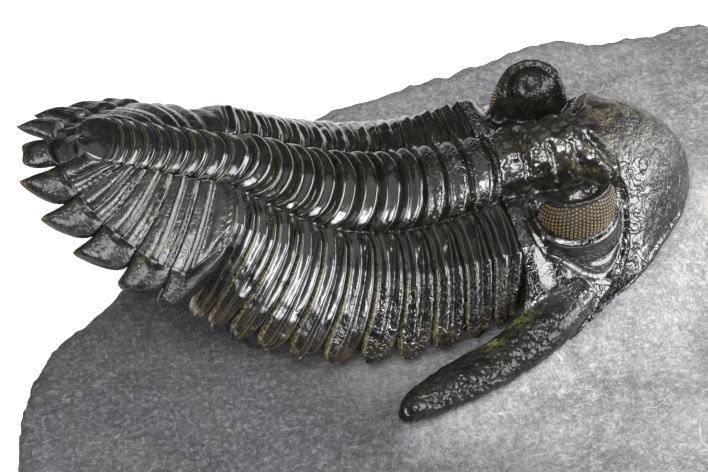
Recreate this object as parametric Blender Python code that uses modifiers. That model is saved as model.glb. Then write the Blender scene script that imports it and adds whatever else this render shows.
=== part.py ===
"""Fossil trilobite of the genus Hollardops, prepared free of a slab of grey limestone.

The animal lies right way up. Its head shield is level on the slab, its eleven thorax segments sag behind the
head and rise again, and its spiny tail shield is held up past the slab's edge. Rock left under the shell
carries it. Lengths below are in millimetres. The head frame has its origin in the middle of the head's rear
edge, +X towards the snout, +Y to the animal's left and +Z up.
"""

import math

import bmesh
import bpy
from mathutils import Matrix, Vector

MM = 0.001
OBJECT_NAME = "hollardops_trilobite"

# Where the head frame sits, measured from the middle of the slab's flat underside
SLAB_THICKNESS = 22.0
HINGE_HEIGHT = 9.0
HEAD_PLACE = Vector((6.0, 8.5, SLAB_THICKNESS + HINGE_HEIGHT))

# Thorax: number of segments, their length along the back, the gap at each joint and the shell's thickness
SEGMENTS = 11
SEGMENT_LENGTH = 2.32
JOINT_GAP = 0.34
SHELL = 0.8
THORAX_LENGTH = SEGMENTS * SEGMENT_LENGTH

# Bending of the thorax, in degrees a segment: most in the middle, and a swing to the left that turns back.
# The head leans to its left, and the lean dies away along the thorax.
BEND_MOST = 8.2
BEND_FALL = 66.0
BEND_MIDDLE = 0.51
SWING_FRONT = 2.5
SWING_CHANGE = -3.5
HEAD_LEAN = 3.6
STEPS = 8

# Thorax cross-section at its front, middle and rear
AXIS_HALF_WIDTH = (3.70, 4.50, 2.80)
AXIS_HEIGHT = (2.70, 2.50, 2.20)
FULCRUM_SIDE = (10.0, 8.45, 6.80)
FULCRUM_HEIGHT = (-0.30, -0.50, -0.15)
TIP_SIDE = (11.85, 14.25, 11.0)
TIP_HEIGHT = (-6.90, -7.10, -8.90)
TIP_SWEEP = 1.25

# Relief across one segment, from its front edge to its rear edge, with the furrow of a rib in the middle
ROWS = (0.0, 0.16, 0.32, 0.46, 0.62, 0.84, 1.0)
RING_RELIEF = (-0.45, -0.05, 0.12, 0.18, 0.18, 0.08, -0.35)
RIB_RELIEF = (-0.45, 0.10, 0.08, -0.32, 0.08, 0.12, -0.42)
HALF_STATIONS = (0.35, 0.70, 0.93, 1.08, 1.5, 1.95, 2.3, 2.65, 2.88, 3.0)

# Head shield
FRONT = 20.4
MARGIN_CURVE = 0.31
MARGIN_DROP = 8.0
CHEEK_RISE = 8.9
CHEEK_SLOPE = 3.2
GENAL_SIDE = 14.8
HEAD_SHELL = 1.2
HEAD_ROWS = (0.0, 0.10, 0.17, 0.25, 0.40, 0.55, 0.68, 0.79, 0.88, 0.95, 0.99)
HEAD_INNER_ROWS = (0.0, 0.10, 0.25, 0.40, 0.55, 0.68, 0.79, 0.88)
EYE_PLACE = Vector((6.0, 7.2, 0.0))
EYE_RINGS = ((-1.2, 4.4, 3.8), (0.0, 4.1, 3.5), (1.0, 3.7, 3.1), (2.8, 3.8, 3.1), (3.7, 3.4, 2.7), (4.2, 2.0, 1.5))
EYE_FOOT = 0.6
SPINE_RUN = (
    (5.0, 11.4, -5.4, 2.0, 2.0),
    (1.0, 13.9, -6.2, 2.3, 2.1),
    (-2.0, 15.2, -7.0, 2.1, 1.9),
    (-4.7, 16.1, -7.4, 2.1, 1.7),
    (-7.8, 16.9, -7.6, 2.05, 1.55),
    (-10.8, 17.7, -7.8, 1.8, 1.35),
    (-13.0, 18.5, -8.0, 1.2, 1.0),
    (-14.0, 18.9, -8.1, 0.5, 0.45),
)
SPINE_STUMP = (
    (5.0, 11.0, -5.4, 2.0, 1.8),
    (2.0, 12.6, -6.3, 1.9, 1.5),
    (-0.2, 13.3, -7.0, 1.2, 1.1),
    (-1.4, 13.6, -7.2, 0.5, 0.6),
)

# Tail shield: distance behind the thorax, side and height of each lappet's tip, front to rear
TAIL_TIPS = (
    (4.5, 12.0, -7.0),
    (8.3, 11.3, -6.8),
    (12.4, 8.7, -7.0),
    (15.6, 6.15, -6.5),
    (17.9, 3.2, -5.6),
)
TAIL_END = (17.5, 0.0, -5.4)
TAIL_AXIS_LENGTH = 13.5
TAIL_AXIS_END_HALF_WIDTH = 1.3
TAIL_AXIS_DROP = 0.08
RIB_LINES = 4
RIB_ROWS = (0.0, 0.18, 0.40, 0.62, 0.76, 0.90, 1.0)
FREE_ROW = 3
RIB_FURROW = 0.4

# Slab: its corners seen from above, in the head frame, and how its sides are broken
SLAB_CORNERS = (
    (30.4, 20.4), (27.9, 21.6), (24.3, 20.9), (19.0, 21.0), (13.8, 22.9), (2.0, 20.9), (-8.8, 19.4),
    (-13.5, 17.6), (-23.0, 15.0), (-30.5, 10.5), (-34.7, 3.4), (-37.6, 0.9), (-42.4, -1.9), (-44.9, -5.2),
    (-46.5, -9.2), (-47.6, -13.6), (-47.0, -22.0), (-42.0, -31.0), (-30.0, -36.5), (-12.0, -39.5),
    (6.0, -40.5), (22.0, -38.0), (32.0, -31.0), (36.5, -19.0), (37.6, -4.0), (37.0, 8.0), (34.0, 16.5),
)
SLAB_RINGS = ((0.02, 0.0), (0.35, 0.0), (0.65, 0.0), (0.86, 0.0), (0.97, 0.25), (1.0, 1.1))
SLAB_SIDES = ((1.015, 6.0), (1.0, 13.0), (0.985, 19.0), (0.95, SLAB_THICKNESS))
CORE_GAP = 0.5
CORE_DEPTH = 12.0
CORE_STEPS = 13
CORE_UNDER_TAIL = 2.6
CORE_TAIL_DROP = 1.8


def smooth_step(low, high, value):
    """Rise from 0 at low to 1 at high with level ends."""
    part = min(max((value - low) / (high - low), 0.0), 1.0)
    return part * part * (3.0 - 2.0 * part)


def bow(values, part):
    """Read a smooth curve through a front, a middle and a rear value at part 0 to 1."""
    front, middle, rear = values
    return (front * (1 - part) * (1 - 2 * part) + middle * 4 * part * (1 - part) + rear * part * (2 * part - 1))


def body_frames():
    """Origins and axes of the back at small steps from the head's rear edge to the tail shield."""
    place = Vector((0.0, 0.0, 0.0))
    axes = Matrix.Rotation(math.radians(-HEAD_LEAN), 3, "X")
    frames = [(place.copy(), axes.copy())]
    count = SEGMENTS * STEPS
    for step in range(count):
        part = (step + 0.5) / count
        bend = (BEND_MOST - BEND_FALL * (part - BEND_MIDDLE) ** 2) / STEPS
        swing = (SWING_FRONT + SWING_CHANGE * part) / STEPS
        upright = 2.0 * HEAD_LEAN * (1.0 - part) / count
        for angle, axis in ((bend, "Y"), (-swing, "Z"), (upright, "X")):
            axes = axes @ Matrix.Rotation(math.radians(angle), 3, axis)
        place = place - axes.col[0] * (SEGMENT_LENGTH / STEPS)
        frames.append((place.copy(), axes.copy()))
    return frames


BODY_FRAMES = body_frames()


def bend_point(behind, side, height):
    """Carry a point of the straight body, so far behind the head, onto the bent one."""
    place_in_steps = behind / SEGMENT_LENGTH * STEPS
    index = int(min(max(math.floor(place_in_steps), 0), len(BODY_FRAMES) - 2))
    part = min(max(place_in_steps - index, 0.0), 1.0)
    beyond = behind - min(max(behind, 0.0), THORAX_LENGTH)
    near, far = BODY_FRAMES[index], BODY_FRAMES[index + 1]
    place = near[0].lerp(far[0], part)
    axes = [near[1].col[k].lerp(far[1].col[k], part) for k in range(3)]
    return place - axes[0] * beyond + axes[1] * side + axes[2] * height


def section(part, across):
    """Side and height of the thorax's outer surface.

    across runs from 0 on the back's middle line to 1 at the axial furrow, 2 at the fulcrum and 3 at the tip.
    """
    sign = -1.0 if across < 0 else 1.0
    across = abs(across)
    axis = bow(AXIS_HALF_WIDTH, part)
    fulcrum = Vector((bow(FULCRUM_SIDE, part), bow(FULCRUM_HEIGHT, part)))
    tip = Vector((bow(TIP_SIDE, part), bow(TIP_HEIGHT, part)))
    if across <= 1.0:
        angle = across * math.pi / 2
        side = axis * math.sin(angle)
        height = bow(AXIS_HEIGHT, part) * math.cos(angle)
    elif across <= 2.0:
        side = axis + (fulcrum.x - axis) * (across - 1.0)
        height = fulcrum.y * (across - 1.0) + 0.45 * math.sin(math.pi * (across - 1.0) ** 0.8)
    else:
        run = across - 2.0
        shoulder = fulcrum + Vector(((tip.x - fulcrum.x) * 0.62, (tip.y - fulcrum.y) * 0.36))
        point = fulcrum * (1 - run) ** 2 + shoulder * 2 * run * (1 - run) + tip * run ** 2
        side, height = point.x, point.y
    return sign * side, height


def section_normal(part, across):
    """Outward direction of the cross-section, as side and height."""
    before = Vector(section(part, max(across - 0.04, -3.0)))
    after = Vector(section(part, min(across + 0.04, 3.0)))
    along = (after - before).normalized()
    return -along.y, along.x


def stations():
    """Places across the body where its sections are drawn, right side to left side."""
    return [-value for value in reversed(HALF_STATIONS)] + [0.0] + list(HALF_STATIONS)


def sweep(across):
    """How far the outer part of a segment is swept back."""
    return TIP_SWEEP * max(abs(across) - 2.0, 0.0) ** 1.4


def shell_point(behind, across, lift):
    """Point of the thorax's shell, lift above its plain outer surface, in the head frame."""
    part = min(max(behind / THORAX_LENGTH, 0.0), 1.0)
    side, height = section(part, across)
    out_side, out_height = section_normal(part, across)
    return bend_point(behind + sweep(across), side + out_side * lift, height + out_height * lift)


def loft(loops):
    """Vertices and faces of a closed body through loops of equal length, with flat ends."""
    size = len(loops[0])
    points = [point for loop in loops for point in loop]
    faces = []
    for row in range(len(loops) - 1):
        for k in range(size):
            nxt = (k + 1) % size
            faces.append((row * size + k, row * size + nxt, (row + 1) * size + nxt, (row + 1) * size + k))
    faces.append(tuple(reversed(range(size))))
    last = (len(loops) - 1) * size
    faces.append(tuple(last + k for k in range(size)))
    return points, faces


def make_material(name, colour, roughness):
    """Plain Principled material with the part's colour and roughness."""
    material = bpy.data.materials.new(name)
    material.use_nodes = True
    shader = material.node_tree.nodes["Principled BSDF"]
    shader.inputs["Base Color"].default_value = (*colour, 1.0)
    shader.inputs["Roughness"].default_value = roughness
    shader.inputs["Metallic"].default_value = 0.0
    return material


def make_object(name, body, material, collection):
    """Object of a body given as points in the head frame and faces."""
    points, faces = body
    mesh = bpy.data.meshes.new(name)
    mesh.from_pydata([Vector(point) * MM for point in points], [], faces)
    turn_faces_out(mesh)
    mesh.shade_smooth()
    mesh.set_sharp_from_angle(angle=math.radians(50))
    item = bpy.data.objects.new(name, mesh)
    item.location = HEAD_PLACE * MM
    if material:
        mesh.materials.append(material)
    collection.objects.link(item)
    return item


def turn_faces_out(mesh):
    """Make every face of the mesh point outwards."""
    work = bmesh.new()
    work.from_mesh(mesh)
    bmesh.ops.recalc_face_normals(work, faces=work.faces)
    work.to_mesh(mesh)
    work.free()


def unite(item, other):
    """Join another body to an item with a Boolean modifier and keep the other as a hidden cutter."""
    other.hide_render = True
    other.display_type = "WIRE"
    union = item.modifiers.new("join " + other.name, "BOOLEAN")
    union.operation = "UNION"
    union.solver = "EXACT"
    union.object = other


def thorax_segment(number):
    """One segment of the thorax: a ring over the axis and a rib with a furrow on each side."""
    start = (number - 1) * SEGMENT_LENGTH + JOINT_GAP / 2
    length = SEGMENT_LENGTH - JOINT_GAP
    loops = []
    for across in stations():
        rounding = 1.0 - 0.45 * smooth_step(2.6, 3.0, abs(across))
        rib = smooth_step(0.85, 1.15, abs(across))
        loop = []
        for row, ring_lift, rib_lift in zip(ROWS, RING_RELIEF, RIB_RELIEF):
            behind = start + length * (0.5 + (row - 0.5) * rounding)
            loop.append(shell_point(behind, across, ring_lift + (rib_lift - ring_lift) * rib))
        for row in (1.0, 0.0):
            behind = start + length * (0.5 + (row - 0.5) * rounding)
            loop.append(shell_point(behind, across, -SHELL))
        loops.append(loop)
    return loft(loops)


def margin_x(side):
    """Front edge of the head shield at a distance from its middle line."""
    return FRONT - MARGIN_CURVE * abs(side) ** 1.5


def head_rear(side):
    """Rear edge of the head shield."""
    return JOINT_GAP / 2 - 0.10 * max(abs(side) - 10.0, 0.0) ** 2


def cheek_height(x, y):
    """Height of the cheek, which falls steeply to the margin and turns down at the rear corner."""
    to_margin = max(margin_x(y) - x, 0.0) / math.sqrt(1.0 + 0.245 * abs(y))
    height = -MARGIN_DROP + CHEEK_RISE * (1.0 - math.exp(-to_margin / CHEEK_SLOPE))
    corner = smooth_step(9.6, 13.0, abs(y)) * (1.0 - smooth_step(0.0, 4.5, x - head_rear(y)))
    return max(height - 2.6 * corner, -MARGIN_DROP)


def glabella_half_width(x):
    """Half width of the raised middle of the head, which broadens forwards and rounds off at the front."""
    width = 3.6 + 3.9 * smooth_step(6.0, 14.0, x)
    if x > 14.0:
        width *= math.sqrt(max(1.0 - ((x - 14.0) / 7.2) ** 2, 0.0))
    return width


def glabella_crest(x):
    """Height of the raised middle of the head along its middle line."""
    if x < 8.0:
        return 4.2 - 0.018 * (8.0 - x) ** 2
    return -MARGIN_DROP + 12.2 * math.sqrt(max(1.0 - ((x - 8.0) / (FRONT - 7.95)) ** 2.4, 0.0))


def head_height(x, y):
    """Height of the head's outer surface without its eyes."""
    cheek = cheek_height(x, y)
    width = glabella_half_width(x)
    across = abs(y) / max(width, 0.01)
    height = cheek
    if across < 1.0:
        height += max(glabella_crest(x) - cheek, 0.0) * (1.0 - across ** 2.5) ** 0.6
    furrow = math.exp(-((abs(y) - width) / 0.7) ** 2) * (1.0 - smooth_step(12.0, 15.0, x))
    neck = math.exp(-((x - 2.5) / 0.6) ** 2) * (1.0 - smooth_step(3.6, 4.6, abs(y)))
    border = math.exp(-((x - 2.6) / 0.8) ** 2) * smooth_step(4.0, 6.0, abs(y)) * (1.0 - smooth_step(11.0, 13.5, abs(y)))
    return max(height - 0.7 * furrow - 0.6 * neck - 0.6 * border, -MARGIN_DROP)


def head_sides():
    """Places across the head where its sections are drawn."""
    half = (1.0, 2.0, 3.0, 3.8, 4.6, 5.6, 6.8, 8.0, 9.4, 10.8, 12.2, 13.6, 14.5, GENAL_SIDE)
    return [-value for value in reversed(half)] + [0.0] + list(half)


def head_shell():
    """The domed head shield, open below and behind."""
    loops = []
    for side in head_sides():
        rear, front = head_rear(side), margin_x(side)
        outer, inner = [], []
        for row in HEAD_ROWS:
            x = rear + (front - rear) * row
            height = max(head_height(x, side), 0.3 - MARGIN_DROP)
            outer.append((x, side, height))
            if row in HEAD_INNER_ROWS:
                inner.append((x, side * 0.985, max(height - HEAD_SHELL, -MARGIN_DROP)))
        rim = [(front, side, -MARGIN_DROP), (front - 0.06 * (front - rear), side * 0.985, -MARGIN_DROP)]
        loops.append(outer + rim + inner[::-1])
    return loft(loops)


def on_head(body):
    """Lean a body with the head."""
    points, faces = body
    lean = BODY_FRAMES[0][1]
    return [lean @ Vector(point) for point in points], faces


def ring_points(centre, radius_x, radius_y, count):
    """Points of a level ellipse."""
    angles = [2 * math.pi * k / count for k in range(count)]
    return [centre + Vector((radius_x * math.cos(a), radius_y * math.sin(a), 0.0)) for a in angles]


def eye(sign):
    """A raised eye, wider at its foot and domed at its top."""
    loops = []
    for height, radius_x, radius_y in EYE_RINGS:
        centre = Vector((EYE_PLACE.x, sign * (EYE_PLACE.y + 0.12 * height), height))
        loops.append(ring_points(centre, radius_x, radius_y, 14))
    for point in loops[0]:
        point.z = min(head_height(point.x, point.y), 0.0) - EYE_FOOT
    return loft(loops)


def genal_spine(run, sign):
    """The blunt spine that runs back from the corner of the cheek."""
    loops = []
    for k, (x, y, z, half_width, half_height) in enumerate(run):
        centre = Vector((x, sign * y, z))
        before = run[max(k - 1, 0)]
        after = run[min(k + 1, len(run) - 1)]
        along = Vector((after[0] - before[0], sign * (after[1] - before[1]), 0.0)).normalized()
        across = Vector((-along.y, along.x, 0.0))
        loop = []
        for corner in range(10):
            angle = 2 * math.pi * corner / 10
            loop.append(centre + across * half_width * math.cos(angle) + Vector((0, 0, half_height * math.sin(angle))))
        loops.append(loop)
    return loft(loops)


def tail_axis_half_width(behind):
    """Half width of the tail's axis, which narrows to its blunt end."""
    part = min(behind / TAIL_AXIS_LENGTH, 1.0)
    return AXIS_HALF_WIDTH[2] + (TAIL_AXIS_END_HALF_WIDTH - AXIS_HALF_WIDTH[2]) * part


def rib_base(line):
    """Foot of a fan line on the axial furrow; line counts from the front, one rib every RIB_LINES."""
    ribs = len(TAIL_TIPS)
    behind = JOINT_GAP / 2 + (TAIL_AXIS_LENGTH - JOINT_GAP / 2) * (line / (ribs * RIB_LINES + 2)) ** 0.93
    last = smooth_step(ribs * RIB_LINES - 1, ribs * RIB_LINES + 2, line)
    side = tail_axis_half_width(behind) * (1.0 - last)
    return Vector((behind, side, -TAIL_AXIS_DROP * behind))


def rib_curve(base, tip, run):
    """Point along a rib from its foot over the shoulder and down to its tip."""
    reach = Vector(tip) - base
    first = base + Vector((reach.x * 0.22, reach.y * 0.45, -0.6))
    second = base + Vector((reach.x * 0.34, reach.y * 1.08, reach.z * 0.85))
    rest = 1 - run
    return base * rest ** 3 + first * 3 * rest ** 2 * run + second * 3 * rest * run ** 2 + Vector(tip) * run ** 3


def fan_point(line, row, free_side):
    """Point of the tail's ribbed fan before it is laid on the body.

    Lines that divide two ribs are shared up to FREE_ROW. Past it free_side says which lappet's edge is meant,
    -1 for the one in front of the line and 1 for the one behind it.
    """
    ribs = len(TAIL_TIPS)
    run = RIB_ROWS[row]
    tips = [Vector(tip) for tip in TAIL_TIPS] + [Vector(TAIL_END)]
    rib = line // RIB_LINES
    across = (line % RIB_LINES) / RIB_LINES
    if across == 0.0 and free_side < 0:
        rib, across = rib - 1, 1.0
    rib = min(rib, ribs)
    middle = rib_curve(rib_base(rib * RIB_LINES + RIB_LINES // 2), tips[rib], run)
    if rib == 0:
        side, height = section(1.0, 1.0 + 2.0 * run)
        front = Vector((JOINT_GAP / 2 + sweep(1.0 + 2.0 * run), side, height))
    else:
        before = rib_curve(rib_base((rib - 1) * RIB_LINES + RIB_LINES // 2), tips[rib - 1], run)
        front = (before + middle) / 2
    if rib < ribs:
        after = rib_curve(rib_base((rib + 1) * RIB_LINES + RIB_LINES // 2), tips[rib + 1], run)
    else:
        after = Vector((middle.x, -middle.y, middle.z))
    rear = (middle + after) / 2
    if row > FREE_ROW:
        past = (run - RIB_ROWS[FREE_ROW]) / (1.0 - RIB_ROWS[FREE_ROW])
        narrow = 0.10 + 0.90 * math.sqrt(max(1.0 - past ** 2.2, 0.0))
        front = middle + (front - middle) * narrow
        rear = middle + (rear - middle) * narrow
    if across < 0.5:
        point = front.lerp(middle, across * 2)
    else:
        point = middle.lerp(rear, across * 2 - 1)
    dip = 1.0 if across in (0.0, 1.0) else 0.45 if across == 0.5 else 0.0
    edge = dip if row < FREE_ROW + 1 else dip * 0.4
    return point - Vector((0.0, 0.0, RIB_FURROW * edge))


def tail_shell():
    """Points and faces of the tail shield's outer surface, an open sheet."""
    points, faces, known = [], [], {}
    last_line = len(TAIL_TIPS) * RIB_LINES + 2

    def place(key, point):
        """Keep a point under its key and give its index."""
        if key not in known:
            known[key] = len(points)
            points.append(bend_point(THORAX_LENGTH + point[0], point[1], point[2]))
        return known[key]

    def fan(sign, line, row, free_side):
        """Index of a fan point on one side of the tail."""
        side = sign if line < last_line else 0
        split = free_side if line % RIB_LINES == 0 and row > FREE_ROW and 0 < line else 0
        point = fan_point(line, row, free_side)
        if line == last_line:
            point.y = 0.0
        return place(("fan", side, line, row, split), (point.x, sign * point.y, point.z))

    for sign in (-1, 1):
        for line in range(last_line):
            for row in range(len(RIB_ROWS) - 1):
                quad = [fan(sign, line, row, 1), fan(sign, line, row + 1, 1),
                        fan(sign, line + 1, row + 1, -1), fan(sign, line + 1, row, -1)]
                faces.append(tuple(quad if sign > 0 else reversed(quad)))

    arcs = (-0.66, -0.33, 0.0, 0.33, 0.66)

    def axis_row(line):
        """Indices across the axis at one fan line, left furrow to right furrow."""
        base = fan_point(line, 0, 1)
        if line == last_line:
            return [fan(1, line, 0, 1)]
        across_axis = [fan(1, line, 0, 1)]
        height = bow(AXIS_HEIGHT, 1.0) * (1.0 - 0.75 * (line / last_line) ** 2) + (0.12 if line % 2 else -0.12)
        for k, arc in enumerate(reversed(arcs)):
            angle = arc * math.pi / 2
            point = (base.x, base.y * math.sin(angle), base.z + height * math.cos(angle))
            across_axis.append(place(("axis", line, k), point))
        return across_axis + [fan(-1, line, 0, 1)]

    for line in range(last_line):
        here, there = axis_row(line), axis_row(line + 1)
        for k in range(len(here) - 1):
            if len(there) > 1:
                faces.append((here[k], there[k], there[k + 1], here[k + 1]))
            else:
                faces.append((here[k], there[0], here[k + 1]))
    return points, faces


def slab_top(x, y):
    """Height of the slab's upper face in the head frame, with broad low swells."""
    swell = 0.16 * math.sin(0.21 * x + 0.6) + 0.12 * math.sin(0.33 * y + 0.13 * x) - 0.12
    return -HINGE_HEIGHT + swell


def slab_outline():
    """The slab's outline with a chipped point halfway along each run."""
    outline = []
    for k, corner in enumerate(SLAB_CORNERS):
        here = Vector((*corner, 0.0))
        there = Vector((*SLAB_CORNERS[(k + 1) % len(SLAB_CORNERS)], 0.0))
        outline.append(here)
        chip = 0.12 * math.sin(2.4 * k) * min((there - here).length / 6.0, 1.0)
        along = (there - here).normalized()
        outline.append((here + there) / 2 + Vector((along.y, -along.x, 0.0)) * chip)
    return outline


def slab():
    """The block of limestone: an upper face with low swells, broken sides and a flat underside."""
    outline = slab_outline()
    centre = sum(outline, Vector((0.0, 0.0, 0.0))) / len(outline)
    loops = []
    for scale, drop in SLAB_RINGS:
        flat = [centre + (point - centre) * scale for point in outline]
        loop = [Vector((point.x, point.y, slab_top(point.x, point.y) - drop)) for point in flat]
        if scale < 0.1:
            loop = [Vector((point.x, point.y, slab_top(centre.x, centre.y))) for point in flat]
        loops.append(loop)
    for level, (scale, drop) in enumerate(SLAB_SIDES):
        loop = []
        for k, point in enumerate(outline):
            broken = 0.012 * math.sin(1.9 * k + 2.3 * level) if drop < SLAB_THICKNESS else 0.0
            spot = centre + (point - centre) * (scale + broken)
            loop.append(Vector((spot.x, spot.y, -HINGE_HEIGHT - drop)))
        loops.append(loop)
    return loft(loops)


def thorax_core():
    """Rock left under the thorax and the front of the tail shield."""
    loops = []
    for step in range(CORE_STEPS):
        behind = 0.4 + (THORAX_LENGTH + CORE_UNDER_TAIL - 0.4) * step / (CORE_STEPS - 1)
        narrow = 1.0 - 0.35 * smooth_step(THORAX_LENGTH - 4.0, THORAX_LENGTH + 4.0, behind)
        lower = CORE_TAIL_DROP * smooth_step(THORAX_LENGTH - 2.0, THORAX_LENGTH + 1.2, behind)
        loop = []
        for across in stations()[2:-2]:
            rest = across / 3.0 * 2.72 * narrow
            loop.append(shell_point(behind - sweep(rest), rest, -SHELL - CORE_GAP - lower))
        for end, grow in ((loop[-1], 0.6), (loop[0], -0.6)):
            loop.append(Vector((end.x, end.y + grow, -CORE_DEPTH)))
        loops.append(loop)
    return loft(loops)


def head_core():
    """Rock left under the head shield."""
    loops = []
    rear = -0.6
    for side in head_sides()[6:-6]:
        front = margin_x(side) - 3.6
        loop = []
        for row in (0.0, 0.15, 0.3, 0.5, 0.7, 0.88, 1.0):
            x = rear + (front - rear) * row
            spots = [(max(x, 0.3) + along, side + across) for along in (-0.5, 0.3, 1.4) for across in (-0.7, 0.0, 0.7)]
            lowest = min(head_height(*spot) for spot in spots)
            top = max(lowest - HEAD_SHELL - CORE_GAP, -9.5)
            loop.append(Vector((x, side, min(top, -2.0) if abs(side) > 2.5 else top)))
        loop.append(Vector((front, side, -CORE_DEPTH)))
        loop.append(Vector((rear, side, -CORE_DEPTH)))
        loops.append(loop)
    return loft(loops)


def make_collection(name):
    """New collection in the scene."""
    collection = bpy.data.collections.new(name)
    bpy.context.scene.collection.children.link(collection)
    return collection


def main():
    """Build every piece of the fossil."""
    for item in list(bpy.data.objects):
        bpy.data.objects.remove(item, do_unlink=True)
    parts = make_collection(OBJECT_NAME)
    cutters = make_collection("cutters")
    limestone = make_material("limestone", (0.30, 0.31, 0.33), 0.85)
    shells = {name: make_material(name + "_shell", (0.02, 0.019, 0.016), rough)
              for name, rough in (("head", 0.25), ("thorax", 0.2), ("tail", 0.35))}

    rock = make_object("rock_matrix", slab(), limestone, parts)
    unite(rock, make_object("thorax_core", thorax_core(), None, cutters))
    unite(rock, make_object("head_core", on_head(head_core()), None, cutters))

    head = make_object("cephalon", on_head(head_shell()), shells["head"], parts)
    for sign, side, run in ((1, "left", SPINE_STUMP), (-1, "right", SPINE_RUN)):
        unite(head, make_object("eye_" + side, on_head(eye(sign)), None, cutters))
        unite(head, make_object("genal_spine_" + side, on_head(genal_spine(run, sign)), None, cutters))

    for number in range(1, SEGMENTS + 1):
        make_object(f"thorax_segment_{number:02d}", thorax_segment(number), shells["thorax"], parts)

    tail = make_object("pygidium", tail_shell(), shells["tail"], parts)
    thicken = tail.modifiers.new("shell thickness", "SOLIDIFY")
    thicken.thickness = SHELL * MM
    thicken.offset = -1.0


main()
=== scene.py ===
"""Looks of the fossil trilobite Hollardops on its limestone slab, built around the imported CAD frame.

Lengths are in millimetres until a mesh is made. The head frame has its origin in the middle of the head's
rear edge, +X towards the snout, +Y to the animal's left and +Z up, as in the part's source.
"""

import logging
import math
from dataclasses import dataclass
from enum import Enum
from typing import Optional, Sequence

import bpy
import numpy as np
from mathutils import Matrix, Vector


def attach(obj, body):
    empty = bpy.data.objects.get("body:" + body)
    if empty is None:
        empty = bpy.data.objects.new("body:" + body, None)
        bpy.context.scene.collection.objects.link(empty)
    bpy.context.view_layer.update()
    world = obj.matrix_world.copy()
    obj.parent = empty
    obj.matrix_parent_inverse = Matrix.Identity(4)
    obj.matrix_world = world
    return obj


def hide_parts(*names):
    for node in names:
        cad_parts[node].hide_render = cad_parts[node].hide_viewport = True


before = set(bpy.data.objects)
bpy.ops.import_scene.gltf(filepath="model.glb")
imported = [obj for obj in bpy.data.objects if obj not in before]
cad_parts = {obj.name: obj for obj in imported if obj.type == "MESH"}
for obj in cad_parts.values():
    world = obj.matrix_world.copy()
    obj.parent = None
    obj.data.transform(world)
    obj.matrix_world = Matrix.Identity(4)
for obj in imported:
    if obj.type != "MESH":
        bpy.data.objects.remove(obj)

LOG = logging.getLogger("hollardops")
MM = 0.001
HEAD_PLACE = np.array([6.0, 8.5, 31.0])
ROCK_FLOOR = -9.0


class Side(Enum):
    """The animal's two sides; the right one faces the camera."""

    RIGHT = -1
    LEFT = 1


class Mask(Enum):
    """Names of the values painted on a mesh that its finish reads."""

    TAN = "tan_edge"
    BROWN = "brown_patch"
    WORMS = "worm_wrinkles"
    PITS = "pits"
    BEADS = "beads"
    DULL = "dull_patch"
    MATT = "matt_patch"
    # Rock darker towards its left end, partly its own tone and partly painted shade, plus painted shade along
    # its far side.
    STAIN = "yellow_stain"
    DARK_END_AND_SHADE = "dark_end_and_shade"
    LENS = "lens_field"
    DOME = "lens_dome"


def smooth_step(low: float, high: float, value: np.ndarray) -> np.ndarray:
    """Rise from 0 at low to 1 at high with level ends."""
    part = np.clip((np.asarray(value, float) - low) / (high - low), 0.0, 1.0)
    return part * part * (3.0 - 2.0 * part)


def bell(value: np.ndarray, middle: float, width: float) -> np.ndarray:
    """A smooth hill of height 1 round a middle value."""
    return np.exp(-(((np.asarray(value, float) - middle) / width) ** 2))


def bow(values: Sequence[float], part: np.ndarray) -> np.ndarray:
    """Read a smooth curve through a front, a middle and a rear value at part 0 to 1."""
    front, middle, rear = values
    return front * (1 - part) * (1 - 2 * part) + middle * 4 * part * (1 - part) + rear * part * (2 * part - 1)


def ease_through(knots: Sequence[tuple[float, float]], value: np.ndarray) -> np.ndarray:
    """Read a curve that passes level through each knot.

    Args:
        knots: Pairs of place and height, in rising order of place.
        value: Places to read.

    Returns:
        The height at each place.
    """
    value = np.asarray(value, float)
    height = np.full(value.shape, knots[0][1])
    for (low, start), (high, end) in zip(knots, knots[1:]):
        height = height + (end - start) * smooth_step(low, high, value)
    return height


def through_points(points: Sequence[Sequence[float]], part: np.ndarray) -> np.ndarray:
    """Read a smooth curve through rows of numbers.

    Args:
        points: The rows, evenly spaced from part 0 to part 1.
        part: Places to read.

    Returns:
        One row for each place.
    """
    rows = np.array(points, float)
    rows = np.vstack([2 * rows[0] - rows[1], rows, 2 * rows[-1] - rows[-2]])
    place = np.clip(part, 0.0, 1.0) * (len(points) - 1)
    index = np.minimum(np.floor(place).astype(int), len(points) - 2)
    t = (place - index)[:, None]
    a, b, c, d = (rows[index + k] for k in range(4))
    return 0.5 * (2 * b + (c - a) * t + (2 * a - 5 * b + 4 * c - d) * t**2 + (3 * b - a - 3 * c + d) * t**3)


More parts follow.
